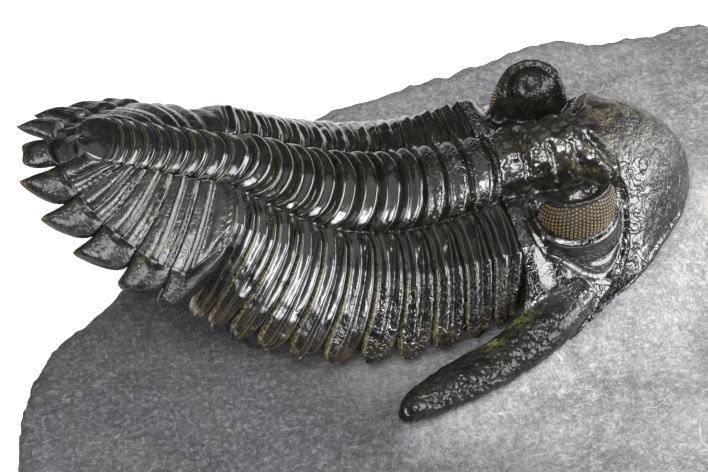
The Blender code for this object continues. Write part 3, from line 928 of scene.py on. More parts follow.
@dataclass
class EyeForm:
    """One raised eye: a lens wall round its outer side under a rim, and a lobe towards the glabella."""

    side: Side
    middle_x: float = 5.85
    middle_y: float = 6.5
    half_length: float = 3.75
    reach_out: float = 3.55
    reach_in: float = 3.1
    rim_climb: float = 0.13
    lobe_edge: float = 9.5
    lobe_slope: float = 0.30
    lobe_fall: float = 0.032
    lobe_furrow: float = 0.42
    lobe_swell: float = 0.95
    wall: tuple[tuple[float, float], ...] = (
        (-3.2, 1.22), (-2.2, 1.17), (-1.5, 1.14), (-1.0, 1.125), (-0.72, 1.10), (-0.56, 1.05), (-0.52, 0.99),
        (-0.50, 0.955), (-0.35, 0.945), (0.0, 0.965), (0.6, 0.988), (1.2, 0.982), (2.0, 0.95), (2.8, 0.895),
        (3.4, 0.84), (3.62, 0.825), (3.72, 0.845), (3.86, 0.845), (3.97, 0.815), (4.0, 0.77))
    lens_top: float = 3.42
    lens_spacing: float = 0.41
    lens_radius: float = 0.175
    lens_rise: float = 0.11
    lens_sides: int = 10
    lens_rings: tuple[tuple[float, float], ...] = ((1.0, -0.25), (0.94, 0.35), (0.70, 0.78), (0.38, 0.95))

    def ring(self, angle: np.ndarray, level: np.ndarray, spread: np.ndarray) -> np.ndarray:
        """Points round the eye.

        Args:
            angle: 0 towards the snout and a quarter turn straight outwards.
            level: Height for a rim at its outermost point.
            spread: Size against the eye's plan.

        Returns:
            The points, leaning with the rim's slopes.
        """
        x = self.middle_x + self.half_length * spread * np.cos(angle)
        reach = np.where(np.sin(angle) > 0, self.reach_out, self.reach_in)
        outwards = self.middle_y + reach * spread * np.sin(angle)
        inner = 1.0 - smooth_step(-0.45, 0.30, np.sin(angle))
        stays = 1.0 - inner * smooth_step(0.30, 0.84, spread)
        height = level * np.where(level > 0.0, self.local_height(x, outwards) / 4.0 * stays, 1.0)
        height = height - 0.5 * (1.0 - stays) * (level > 0.0)
        return np.stack([x, self.side.value * outwards, height], axis=-1)

    def local_height(self, x: np.ndarray, outwards: np.ndarray) -> np.ndarray:
        """Height of the eye's top, which falls away towards the glabella."""
        inside = np.maximum(self.lobe_edge - outwards, 0.0)
        fall = self.lobe_slope * inside + self.lobe_fall * inside**2
        return np.maximum(4.0 + self.rim_climb * (x - self.middle_x) - fall, 0.3)

    def solid(self) -> tuple[np.ndarray, np.ndarray]:
        """Closed body of the eye with its foot inside the head.

        Returns:
            Points and faces.
        """
        count = 128
        angle = np.linspace(0.0, 2 * math.pi, count, endpoint=False)
        loops = [self.ring(angle, np.full(count, level), np.full(count, spread))
                 for level, spread in self.wall]
        for spread in np.linspace(0.73, 0.03, 15):
            furrow = self.lobe_furrow * bell(spread, 0.62, 0.09) * smooth_step(-0.6, 0.2, np.sin(angle))
            swell = self.lobe_swell * bell(spread, 0.22, 0.28)
            loops.append(self.ring(angle, 4.0 - furrow + swell, np.full(count, spread)))
        return close_loft(np.array(loops))

    def wall_point(self, angle: np.ndarray, level: np.ndarray) -> np.ndarray:
        """Point of the lens wall at an angle and a height."""
        levels, spreads = zip(*self.wall[7:16])
        return self.ring(angle, level, np.interp(level, levels, spreads))

    def lens_places(self) -> tuple[np.ndarray, np.ndarray]:
        """Places of the lenses, in files up and down the wall.

        Returns:
            Their middles and their outward directions.
        """
        first, last = math.radians(10.0), math.radians(168.0)
        radius = (self.half_length + self.reach_out) / 2
        files = int((last - first) * radius / (self.lens_spacing * 0.87))
        angles, levels = [], []
        for number in range(files + 1):
            part = number / files
            angle = first + (last - first) * part
            rim = self.ring(np.array([angle]), np.array([self.lens_top]), np.array([0.84]))[0, 2]
            factor = rim / self.lens_top
            level = -0.12 + 1.5 * abs(2 * part - 1.06) ** 2.6 + (self.lens_spacing / 2 if number % 2 else 0.0)
            while level < self.lens_top:
                angles.append(angle)
                levels.append(level)
                level += self.lens_spacing * 0.94 / factor
        angle, level = np.array(angles), np.array(levels)
        middle = self.wall_point(angle, level)
        along = self.wall_point(angle + 0.02, level) - self.wall_point(angle - 0.02, level)
        up = self.wall_point(angle, level + 0.05) - self.wall_point(angle, level - 0.05)
        out = np.cross(up, along) * -self.side.value
        return middle, out / np.linalg.norm(out, axis=1)[:, None]

    def near(self, points: np.ndarray) -> tuple[np.ndarray, np.ndarray]:
        """Place of points in the eye's own terms.

        Args:
            points: Points in the head's own frame, without its lean.

        Returns:
            Distance from the eye's middle against its plan, and the angle as in ring.
        """
        outwards = points[:, 1] * self.side.value - self.middle_y
        reach = np.where(outwards > 0, self.reach_out, self.reach_in)
        along = (points[:, 0] - self.middle_x) / self.half_length
        return np.hypot(along, outwards / reach), np.arctan2(outwards / reach, along)

    def build_lenses(self, finish: bpy.types.Material) -> None:
        """Set the lenses as small domes on the wall.

        Args:
            finish: Their finish.
        """
        middles, outs = self.lens_places()
        sides = self.lens_sides
        turn = np.linspace(0, 2 * math.pi, sides, endpoint=False)[None, :, None]
        across = np.cross(np.array([0.0, 0.0, 1.0]), outs)
        across /= np.linalg.norm(across, axis=1)[:, None]
        up = np.cross(outs, across)
        circle = across[:, None, :] * np.cos(turn) + up[:, None, :] * np.sin(turn)
        blocks, domes = [], []
        for share, rise in self.lens_rings:
            blocks.append(middles[:, None, :] + circle * self.lens_radius * share
                          + outs[:, None, :] * self.lens_rise * rise)
            # Dome mask, 1 at the top and 0 at the foot; the lens finish paints shade from it.
            domes.append(np.full((len(middles), sides), 1.0 - share**2))
        blocks.append((middles + outs * self.lens_rise)[:, None, :])
        domes.append(np.ones((len(middles), 1)))
        points = np.concatenate(blocks, axis=1)
        dome = np.concatenate(domes, axis=1)
        size = points.shape[1]
        shell = quads(len(self.lens_rings), sides, loop=True)
        top = (len(self.lens_rings) - 1) * sides
        cap = np.array([[top + k, top + (k + 1) % sides, size - 1] for k in range(sides)])
        starts = (np.arange(len(middles)) * size)[:, None, None]
        faces = [(shell[None] + starts).reshape(-1, 4), (cap[None] + starts).reshape(-1, 3)]
        name = "right_eye_lenses" if self.side is Side.RIGHT else "left_eye_lenses"
        places = BACK.on_head(points.reshape(-1, 3))
        piece = make_piece(name, places, faces, finish, {Mask.DOME: dome.ravel()})


@dataclass
class CheekSpine:
    """Blunt spine that runs back from the corner of the cheek, or the stump of one."""

    side: Side
    run: tuple[tuple[float, float, float, float, float], ...]

    def solid(self) -> tuple[np.ndarray, np.ndarray]:
        """Closed body of the spine.

        Returns:
            Points and faces.
        """
        rows = through_points(self.run, np.linspace(0.0, 1.0, 90))
        middle = rows[:, :3] * np.array([1.0, self.side.value, 1.0])
        along = np.gradient(middle, axis=0)
        along[:, 2] = 0.0
        along /= np.linalg.norm(along, axis=1)[:, None]
        across = np.stack([-along[:, 1], along[:, 0], np.zeros(len(along))], axis=1)
        turn = np.linspace(0, 2 * math.pi, 48, endpoint=False)
        wide = np.abs(np.cos(turn)) ** 0.9 * np.sign(np.cos(turn))
        high = np.abs(np.sin(turn)) ** 0.85 * np.sign(np.sin(turn))
        loops = (middle[:, None, :] + across[:, None, :] * (rows[:, 3, None] * wide)[:, :, None]
                 + np.array([0.0, 0.0, 1.0]) * (rows[:, 4, None] * high)[:, :, None])
        return close_loft(loops)


SPINE_RUN = ((5.0, 11.4, -5.4, 2.0, 2.0), (1.0, 13.9, -6.2, 2.3, 2.1), (-2.0, 15.2, -7.0, 2.1, 1.9),
             (-4.7, 16.1, -7.4, 2.1, 1.7), (-7.8, 16.9, -7.6, 2.05, 1.55), (-10.8, 17.7, -7.8, 1.8, 1.35),
             (-13.0, 18.5, -8.0, 1.2, 1.0), (-14.0, 18.9, -8.1, 0.5, 0.45))
SPINE_STUMP = ((5.0, 11.0, -5.4, 2.0, 1.8), (2.0, 12.6, -6.3, 1.9, 1.5), (-0.2, 13.3, -7.0, 1.2, 1.1),
               (-1.4, 13.6, -7.2, 0.5, 0.6))


@dataclass
class Cephalon:
    """The head shield with its eyes and cheek spines, grown as one."""

    form: HeadForm
    voxel: float = 0.145
    sunk_below: float = -9.0

    def __post_init__(self) -> None:
        """Make the eyes and spines."""
        self.eyes = [EyeForm(side) for side in Side]
        self.spines = [CheekSpine(Side.RIGHT, SPINE_RUN), CheekSpine(Side.LEFT, SPINE_STUMP)]

    def merged(self) -> tuple[np.ndarray, np.ndarray]:
        """Grow all bodies together with a voxel remesh.

        Returns:
            Points and faces.
        """
        bodies = [self.form.solid()] + [part.solid() for part in self.eyes + self.spines]
        points, faces, used = [], [], 0
        for body_points, body_faces in bodies:
            points.append(body_points)
            faces.append(body_faces + used)
            used += len(body_points)
        mesh = new_mesh("head_bodies", np.concatenate(points), [np.concatenate(faces)])
        block = bpy.data.objects.new("head_bodies", mesh)
        bpy.context.scene.collection.objects.link(block)
        remesh = block.modifiers.new("grow together", "REMESH")
        remesh.mode = "VOXEL"
        remesh.voxel_size = self.voxel
        shaped = block.evaluated_get(bpy.context.evaluated_depsgraph_get()).to_mesh()
        out = np.zeros(len(shaped.vertices) * 3, np.float32)
        shaped.vertices.foreach_get("co", out)
        corners = np.zeros(len(shaped.loops), np.int32)
        shaped.loops.foreach_get("vertex_index", corners)
        merged = out.reshape(-1, 3).astype(float), corners.reshape(-1, 4)
        bpy.data.objects.remove(block, do_unlink=True)
        return merged

    def ease(self, points: np.ndarray, faces: np.ndarray, weight: np.ndarray, rounds: int) -> np.ndarray:
        """Smooth the surface where the weight says.

        Args:
            points: Places.
            faces: Quads.
            weight: Share of the smoothing at each point.
            rounds: How often it is repeated.

        Returns:
            The moved points.
        """
        pairs = np.concatenate([faces[:, [k, (k + 1) % 4]] for k in range(4)])
        count = np.bincount(pairs[:, 0], minlength=len(points))
        for _ in range(rounds):
            total = np.stack([np.bincount(pairs[:, 0], points[pairs[:, 1], axis], len(points))
                              for axis in range(3)], axis=1)
            points = points + (total / np.maximum(count, 1)[:, None] - points) * weight[:, None]
        return points

    def normals(self, points: np.ndarray, faces: np.ndarray) -> np.ndarray:
        """Unit normals at the points."""
        cross = np.cross(points[faces[:, 2]] - points[faces[:, 0]], points[faces[:, 3]] - points[faces[:, 1]])
        total = np.stack([sum(np.bincount(faces[:, k], cross[:, axis], len(points)) for k in range(4))
                          for axis in range(3)], axis=1)
        return total / np.maximum(np.linalg.norm(total, axis=1), 1e-9)[:, None]

    def relief(self, points: np.ndarray) -> tuple[np.ndarray, dict[Mask, np.ndarray]]:
        """Height of the fine relief, and the masks.

        Args:
            points: Points in the head's own frame.

        Returns:
            The height along the normal, and the mask values.
        """
        x, y, z = points.T
        side = np.abs(y)
        on_eye = np.zeros(len(points))
        lens = np.zeros(len(points))
        foot = np.zeros(len(points))
        trench = np.zeros(len(points))
        for eye in self.eyes:
            spread, angle = eye.near(points)
            same = y * eye.side.value > 0
            inside = (1.0 - smooth_step(1.0, 1.12, spread)) * same
            on_eye = np.maximum(on_eye, inside * smooth_step(-0.6, 0.0, z))
            outer = smooth_step(0.05, 0.15, angle) * (1.0 - smooth_step(2.95, 3.05, angle))
            wall = smooth_step(0.78, 0.82, spread) * (1.0 - smooth_step(1.0, 1.03, spread))
            top = eye.ring(angle, np.full(len(x), 3.55), np.full(len(x), 0.83))[:, 2]
            lens = np.maximum(lens, wall * outer * same * smooth_step(-0.46, -0.36, z) * (z < top + 0.02))
            foot = np.maximum(foot, bell(spread, 1.10, 0.08) * same)
            trench = np.maximum(trench, bell(spread, 1.27, 0.10) * same * smooth_step(-0.9, 0.3, angle)
                                * (1.0 - smooth_step(2.6, 3.1, angle)) * (1.0 - 0.75 * (y > 0)))
        width = self.form.half_width(x)
        glossy_from = width + (3.6 - width) * smooth_step(8.5, 11.0, x) * (y < 0)
        glabella = 1.0 - smooth_step(-0.5, 0.5, side - glossy_from)
        level = 0.21 * x + 0.64 * z - 0.74 * side + 2.6 * smooth_step(-0.5, 3.0, y)
        glabella *= 1.0 - smooth_step(8.5, 10.5, x) * (1.0 - smooth_step(-0.7, 0.7, level))
        frontal = glabella * smooth_step(8.5, 10.5, x)
        nodes = glabella * (1.0 - smooth_step(8.5, 10.5, x)) * smooth_step(-0.2, 0.4, x)
        spine = smooth_step(12.5, 14.0, side + 0.35 * np.maximum(-x, 0.0)) * (1.0 - smooth_step(2.0, 5.0, x))
        cheek = (1.0 - glabella) * (1.0 - on_eye) * (1.0 - spine)
        front = smooth_step(12.5, 15.5, x + 0.25 * side)
        border = smooth_step(0.3, 1.2, x) * (1.0 - smooth_step(1.7, 2.4, x)) * (1.0 - spine)

        lumps = NOISE.layers(points, 1.5, 3)
        grain = NOISE_TWO.layers(points, 0.5, 2)
        worm_share = cheek * (0.45 + 0.55 * smooth_step(2.5, 4.0, x)) * (1.0 - 0.7 * border)
        worm_share = worm_share * (1.0 - np.maximum(foot, 0.85 * trench)) + (0.30 + 0.22 * front) * frontal
        lift = (0.045 + 0.03 * frontal) * lumps * (1.0 - on_eye)
        lift += nodes * (0.17 * lumps + 0.07 * grain)
        lift += 0.035 * frontal * grain
        lift += spine * (0.07 * lumps + 0.07 * grain)
        lift += on_eye * (0.045 * lumps + 0.02 * grain)
        lift *= 1.0 - 0.85 * foot * (1.0 - lens)
        lift *= 1.0 - lens
        lift -= 0.45 * trench
        band = bell(side, 3.3, 1.6) * bell(x, 6.5, 3.8) + 0.8 * bell(x, 2.8, 0.6) * (side < 4.0)
        tint = smooth_step(0.05, 0.6, NOISE_TWO.layers(points, 1.3, 3))
        patches = smooth_step(0.02, 0.45, NOISE.layers(points, 2.0, 4, 0.7)) * frontal * (1.0 - 0.6 * front)
        stain = bell(x, -1.6, 1.1) * bell(side, 13.4, 0.8) + bell(x, -4.4, 0.8) * bell(side, 14.9, 0.6)
        masks = {
            Mask.TAN: np.clip(0.5 * np.clip(band, 0, 1) * tint + 0.36 * patches, 0, 1) * (1.0 - on_eye),
            Mask.BROWN: 0.20 * frontal * (1.0 - front) + 0.14 * nodes,
            Mask.BEADS: np.clip(0.9 * frontal + on_eye * (1.0 - lens) + 0.5 * spine, 0, 1),
            Mask.DULL: np.clip((0.9 - 0.25 * front) * frontal + 0.4 * nodes, 0, 1),
            Mask.MATT: np.clip((0.45 + 0.55 * (y > 0)) * on_eye * (1.0 - lens) + 0.85 * spine
                               + (0.2 + 0.25 * front) * frontal + 0.6 * lens, 0, 1),
            Mask.WORMS: np.clip(worm_share, 0, 1) * (1.0 - lens) * (1.0 - on_eye),
            Mask.PITS: np.clip(spine + 0.5 * nodes, 0, 1),
            Mask.STAIN: stain * (y < 0),
            Mask.LENS: lens,
        }
        return lift, masks

    def build(self, shell: bpy.types.Material, lenses: bpy.types.Material) -> None:
        """Build and dress the head.

        Args:
            shell: Finish of the shell.
            lenses: Finish of the lenses.
        """
        points, faces = self.merged()
        low = points[:, 2] < self.sunk_below
        faces = faces[~low[faces].all(axis=1)]
        kept, faces = np.unique(faces, return_inverse=True)
        points, faces = points[kept], faces.reshape(-1, 4)
        root = bell(points[:, 0], 2.0, 3.2) * smooth_step(9.5, 11.5, np.abs(points[:, 1]))
        points = self.ease(points, faces, np.full(len(points), 0.5), 3)
        points = self.ease(points, faces, root * 0.6, 40)
        lift, masks = self.relief(points)
        points = points + self.normals(points, faces) * lift[:, None]
        piece = make_piece("cephalon_shell", BACK.on_head(points), [faces], shell, masks)
        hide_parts("cephalon")
        for eye in self.eyes:
            eye.build_lenses(lenses)


@dataclass
class Thorax:
    """The eleven segments, each a ring over the axis with a ribbed flank on both sides."""

    across_count: int = 311
    row_count: int = 36
    flange: float = 0.36
    shell: float = 0.8
    ring_bow: float = 1.55
    neck_fill: float = 0.25
    left_calm: float = 0.55
    furrow_depths: tuple[float, float] = (0.34, 0.12)
    fulcrum_knob: float = 0.18
    inner_knob: float = 0.14
    axis_dip: float = 0.12
    edge_rounding: float = 0.42
    ring_profile: tuple[tuple[float, float], ...] = (
        (-0.36, -0.55), (0.0, -0.40), (0.28, -0.36), (1.15, 0.22), (2.04, -0.02), (2.17, 0.02), (2.24, 0.09),
        (2.29, 0.06), (2.40, -0.34))
    rib_profile: tuple[tuple[float, float], ...] = (
        (-0.36, -0.62), (0.02, -0.38), (0.38, 0.09), (0.95, -0.06), (1.52, 0.25), (2.08, -0.05), (2.21, 0.05),
        (2.28, 0.03), (2.40, -0.34))

    def lift(self, along: np.ndarray, across: np.ndarray, number: int) -> np.ndarray:
        """Relief of one segment over the plain surface.

        Args:
            along: Distance behind the segment's front line.
            across: Place across the body.
            number: The segment's number, from 1.

        Returns:
            The height of the relief.
        """
        run = np.abs(across)
        rib = smooth_step(0.93, 1.10, run)
        height = ease_through(self.ring_profile, along) * (1 - rib)
        height = height + ease_through(self.rib_profile, along) * rib
        furrow_line = 0.50 + 0.50 * smooth_step(1.0, 2.3, run)
        reach = smooth_step(1.06, 1.25, run) * (1.0 - smooth_step(2.34, 2.80, run))
        off = np.abs(along - furrow_line)
        sharp, wide = self.furrow_depths
        height -= reach * (sharp * np.exp(-((off / 0.13) ** 1.6)) + wide * np.exp(-((off / 0.34) ** 2)))
        height += self.fulcrum_knob * bell(run, 1.96, 0.24) * bell(along, 1.50, 0.50)
        height += self.inner_knob * bell(run, 1.12, 0.10) * bell(along, 1.40, 0.5)
        height -= self.axis_dip * bell(run, 1.0, 0.05) * smooth_step(0.2, 0.6, along)
        height = height * (1.0 - self.left_calm * smooth_step(1.2, 1.7, across))
        height += self.neck_fill * (number == 1) * (1.0 - smooth_step(0.0, 0.6, along))
        return height

    def build_segment(self, number: int, finish: bpy.types.Material) -> None:
        """Build and dress one segment.

        Args:
            number: The segment's number, from 1 behind the head.
            finish: Its finish.
        """
        pitch = BACK.segment_length
        half = np.linspace(0.0, 1.0, self.across_count // 2 + 1)
        half = np.where(half < 0.28, half / 0.28, np.where(half < 0.55, 1 + (half - 0.28) / 0.27,
                                                          2 + (half - 0.55) / 0.45))
        stations = np.concatenate([-half[:0:-1], half])
        start = -self.flange - 0.64 * (number == 1)
        rows = np.concatenate([np.linspace(start, pitch - 0.34, self.row_count - 12),
                               np.linspace(pitch - 0.29, pitch + 0.08, 12)])
        under = np.array([pitch + 0.02, pitch * 0.5, start])
        along = np.concatenate([rows, under])
        across, along = np.meshgrid(stations, along, indexing="ij")
        run = np.abs(across)
        lift = self.lift(along, across, number)
        lift[:, self.row_count:] = -self.shell
        past = np.clip((run - 2.66) / 0.34, 0.0, 1.0)
        narrow = np.maximum((1.0 - past**2.4) ** (1 / 2.2), 0.12)
        middle = pitch * 0.53
        ring_bow = self.ring_bow * (0.3 + 0.7 * smooth_step(1.0, 5.0, number))
        ahead = ring_bow * np.cos(np.clip(run, 0.0, 1.0) * math.pi / 2) ** 1.3
        behind = (number - 1) * pitch + middle + (along - middle) * narrow - ahead
        behind = behind + 0.30 * bell(run, 1.0, 0.25)
        rounding = 1.0 - np.sqrt(np.maximum(1.0 - smooth_step(2.80, 3.0, run) ** 2, 0.0))
        lift = lift - self.edge_rounding * rounding * (lift > -0.7)
        points = shell_points(behind, across, lift)
        flat = points.reshape(-1, 3)
        normals = grid_normals(points).reshape(-1, 3)
        crumple = smooth_step(1.9, 2.5, run.ravel()) * (1.0 - smooth_step(3.0, 7.0, number))
        rough = 0.035 * NOISE.layers(flat, 1.3, 3) + 0.06 * crumple * NOISE_TWO.layers(flat, 0.7, 2)
        rough += 0.08 * NOISE_TWO.layers(flat, 3.0, 2)
        flat = flat - normals * rough[:, None] * (lift.ravel() > -0.6)[:, None]

        rim = 0.02 + 0.14 * smooth_step(1.7, 2.7, run)
        tan = smooth_step(-0.05, 0.02, along - (pitch - 0.04 - rim))
        tan = tan * (0.12 + 0.38 * smooth_step(1.4, 2.5, run))
        tip = smooth_step(2.66, 2.95, run)
        ring = 1.0 - smooth_step(0.9, 1.3, run.ravel())
        spots = smooth_step(0.25, 0.7, NOISE_TWO.layers(flat, 2.2, 2)).reshape(run.shape)
        masks = {
            Mask.TAN: (tan * (run < 2.97) + 0.4 * tip * spots).ravel(),
            Mask.BROWN: np.clip(0.7 * tip + 0.25 * spots, 0, 1).ravel(),
            Mask.WORMS: 0.03 + 0.6 * crumple + 0.30 * (1.0 - smooth_step(1.5, 4.5, number)) * ring,
            Mask.PITS: (0.3 * tip).ravel(),
        }
        faces = quads(len(stations), along.shape[1], loop=True)
        ends = [np.arange(along.shape[1])[None, ::-1], (len(stations) - 1) * along.shape[1]
                + np.arange(along.shape[1])[None]]
        piece = make_piece(f"thorax_ring_{number:02d}", flat, [faces[:, ::-1], *ends], finish, masks)
        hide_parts(f"thorax_segment_{number:02d}")

    def build(self, finish: bpy.types.Material) -> None:
        """Build every segment."""
        for number in range(1, BACK.segments + 1):
            self.build_segment(number, finish)


@dataclass
class Pygidium:
    """The tail shield: a ringed axis, five ribs a side that end in leaf-shaped lappets, and an end piece."""

    tips: tuple[tuple[float, float, float], ...] = (
        (4.5, 12.0, -7.0), (8.3, 11.3, -6.8), (12.4, 8.7, -7.0), (15.6, 6.15, -6.5), (17.9, 3.2, -5.6))
    end: tuple[float, float, float] = (17.5, 0.0, -5.4)
    axis_length: float = 13.5
    axis_end_half_width: float = 2.5
    axis_round: float = 11.7
    axis_bow: tuple[float, float] = (1.25, 0.6)
    axis_drop: float = 0.11
    axis_fall: float = 0.74
    axis_rings: int = 12
    ring_power: float = 1.71
    ring_step: tuple[tuple[float, float], ...] = (
        (0.0, -0.18), (0.10, -0.20), (0.40, 0.02), (0.86, 0.12), (0.93, 0.11), (1.0, -0.18))
    free_from: float = 0.62
    joint: float = 0.17
    thickness: float = 0.85
    band_rises: tuple[float, float] = (0.10, 0.30)
    band_furrow: float = 0.17
    bead_rise: float = 0.10
    leaf_rise: float = 0.80
    left_sag: float = 0.6
    left_tip_sags: tuple[float, ...] = (2.2, 2.0, 0.9, 0.2, 0.0)

    def axis_half_width(self, behind: np.ndarray) -> np.ndarray:
        """Half width of the axis."""
        wide = SECTION.axis_half_width[2]
        return wide + (self.axis_end_half_width - wide) * np.clip(behind / self.axis_length, 0.0, 1.0)

    def rib_base(self, rib: float) -> np.ndarray:
        """Foot of a line that runs along a rib, or between two ribs at a half number."""
        line = rib * 4 + 2
        behind = self.joint + (self.axis_length - self.joint) * (line / 22) ** 0.93
        last = float(smooth_step(19, 22, line))
        side = float(self.axis_half_width(behind)) * (1.0 - last)
        return np.array([behind, side, -self.axis_drop * behind])

    def rib_line(self, rib: int, run: np.ndarray) -> np.ndarray:
        """Line along the middle of a rib, from its foot over the shoulder to its tip.

        Args:
            rib: Number of the rib from 0 at the front.
            run: 0 at the foot and 1 at the tip.

        Returns:
            Its points.
        """
        base = self.rib_base(rib)
        tip = np.array([*self.tips, self.end][rib])
        reach = tip - base
        first = base + np.array([reach[0] * 0.22, reach[1] * 0.45, -0.6])
        second = base + np.array([reach[0] * 0.34, reach[1] * 1.08, reach[2] * 0.85])
        t = np.asarray(run)[..., None]
        return base * (1 - t) ** 3 + first * 3 * (1 - t) ** 2 * t + second * 3 * (1 - t) * t**2 + tip * t**3

    def rib_edges(self, rib: int, run: np.ndarray) -> tuple[np.ndarray, np.ndarray, np.ndarray]:
        """Lines of a rib before its lappet narrows.

        Args:
            rib: Number of the rib from 0 at the front.
            run: 0 at the foot and 1 at the tip.

        Returns:
            Its front edge, its middle and its rear edge.
        """
        middle = self.rib_line(rib, run)
        if rib == 0:
            side, height = SECTION.surface(np.ones(run.shape), 1.0 + 2.0 * run)
            front = np.stack([self.joint + SECTION.sweep(1.0 + 2.0 * run) - 0.3, side, height], axis=-1)
        else:
            front = (self.rib_line(rib - 1, run) + middle) / 2
        if rib < len(self.tips):
            rear = (middle + self.rib_line(rib + 1, run)) / 2
        else:
            rear = front * np.array([1.0, -1.0, 1.0])
        return front, middle, rear

    def rib_body(self, rib: int) -> tuple[np.ndarray, np.ndarray, np.ndarray, np.ndarray]:
        """Loops of one rib on the animal's left, in the straight body's terms.

        Args:
            rib: Number of the rib from 0 at the front, one more than the lappets for the end piece.

        Returns:
            The grid of points, and across, along and top-side values for each.
        """
        steps, wide, low = 130, 37, 13
        run = np.linspace(0.0, 1.0, steps) ** 0.92
        top = np.linspace(0.0, 1.0, wide)
        bottom = np.linspace(1.0, 0.0, low)[1:-1]
        share = np.concatenate([top, bottom])
        upper = np.concatenate([np.ones(wide), np.zeros(low - 2)])
        front, middle, rear = self.rib_edges(rib, run)
        past = np.clip((run - self.free_from) / (1.0 - self.free_from), 0.0, 1.0)[:, None]
        last = rib == len(self.tips)
        if last:
            outer = inner = (1.0 - past**4) ** 0.25
        else:
            outer = (1.0 - past**2.6) ** 0.55 * (1.0 + 0.30 * np.sin(math.pi * past))
            inner = (1.0 - past**1.7) ** 0.75 * (1.0 - 0.10 * np.sin(math.pi * past))
        front = middle + (front - middle) * outer
        rear = middle + (rear - middle) * inner
        a, r = np.meshgrid(share, run, indexing="xy")
        a, r = a[..., None], r[..., None]
        low_part = 2 * np.minimum(a, 0.5)
        high_part = 2 * np.maximum(a - 0.5, 0.0)
        sheet = (front[:, None] * (1 - low_part) + middle[:, None] * low_part)
        sheet = np.where(a <= 0.5, sheet, middle[:, None] * (1 - high_part) + rear[:, None] * high_part)
        plain = sheet[:, :wide]
        normal = grid_normals(plain)
        normal = np.where((normal[..., 2:] < 0), -normal, normal)
        back = np.round(np.linspace(0, wide - 1, low)[1:-1]).astype(int)
        normal = np.concatenate([normal, normal[:, ::-1][:, back]], axis=1)
        share, reached = a[..., 0], r[..., 0]
        edge = np.abs(2 * share - 1)
        free = smooth_step(self.free_from - 0.03, self.free_from + 0.05, reached)
        beads = 0.6 + 0.4 * np.sin(reached * 95.0 + 9.0 * share + 2.0 * rib)
        front_band, rear_band = self.band_rises
        field = front_band * bell(share, 0.24, 0.16) + rear_band * bell(share, 0.70, 0.20)
        field -= self.band_furrow * bell(share, 0.43, 0.09) + 0.07 * bell(edge, 1.0, 0.06)
        field += self.bead_rise * beads * bell(share, 0.07, 0.035) * smooth_step(0.1, 0.2, reached)
        leaf = self.leaf_rise * np.sqrt(np.maximum(1.0 - edge**2.4, 0.0)) - 0.18
        leaf = leaf + 0.10 * bell(share, 0.35, 0.2)
        step = -0.16 * bell(reached, self.free_from - 0.01, 0.018) * (1.0 - 0.7 * edge)
        if last:
            field = 0.10 * (1.0 - edge**2) - 0.20
        lift = field * (1 - free) + leaf * free + step
        under_flat = np.full(edge.shape, -self.thickness)
        under_leaf = -0.12 - 0.40 * np.sqrt(np.maximum(1.0 - edge**2.2, 0.0))
        under = under_flat * (1 - free) + under_leaf * free
        tip_close = np.sqrt(np.maximum(1.0 - smooth_step(0.80, 1.0, reached) ** 2, 0.0))
        height = np.where(upper[None, :] > 0, lift, under)
        height = (height + 0.12) * tip_close - 0.12
        return sheet + normal * height[..., None], share, reached, np.broadcast_to(upper, edge.shape)

    def axis_body(self) -> tuple[np.ndarray, np.ndarray]:
        """Ringed axis in the straight body's terms.

        Returns:
            The grid of points, and where its rings' edges are.
        """
        rounding = self.axis_length + 0.5 - self.axis_round
        end = self.axis_round + rounding * np.sin(np.linspace(0, math.pi / 2, 40))[1:]
        behind = np.concatenate([np.linspace(-0.3, self.axis_round, 310), end])
        turn = np.radians(np.linspace(-118.0, 118.0, 90))
        b, angle = np.meshgrid(behind, turn, indexing="ij")
        past = np.maximum(b - self.axis_round, 0.0) / (rounding * 1.01)
        ended = np.sqrt(np.maximum(1.0 - past**2, 0.0))
        half = self.axis_half_width(b) * ended
        reach = np.clip(b, 0, None) / self.axis_length
        height = SECTION.axis_height[2] * (1.0 - self.axis_fall * reach**0.95) * ended
        count = self.axis_rings * (1.0 - (1.0 - np.clip(b / 13.0, 0.0, 0.999)) ** (1 / self.ring_power))
        part = count - np.floor(count)
        fade = 1.0 - smooth_step(10.4, 12.2, b)
        step = ease_through(self.ring_step, part)
        lift = step * fade - 0.35 * (b < 0.0)
        low = np.maximum(np.abs(angle) - math.pi / 2, 0.0)
        round_over = np.clip(angle, -math.pi / 2, math.pi / 2)
        side = (half + lift) * np.sin(round_over)
        up = (height + lift) * np.cos(round_over) - self.axis_drop * b - 2.2 * low
        edge = smooth_step(0.80, 0.88, part) * (1.0 - smooth_step(0.95, 1.0, part)) * fade
        bow_ahead = self.axis_bow[0] + (self.axis_bow[1] - self.axis_bow[0]) * np.minimum(reach, 1.0)
        return np.stack([b - bow_ahead * np.cos(round_over) ** 1.3, side, up], axis=-1), edge

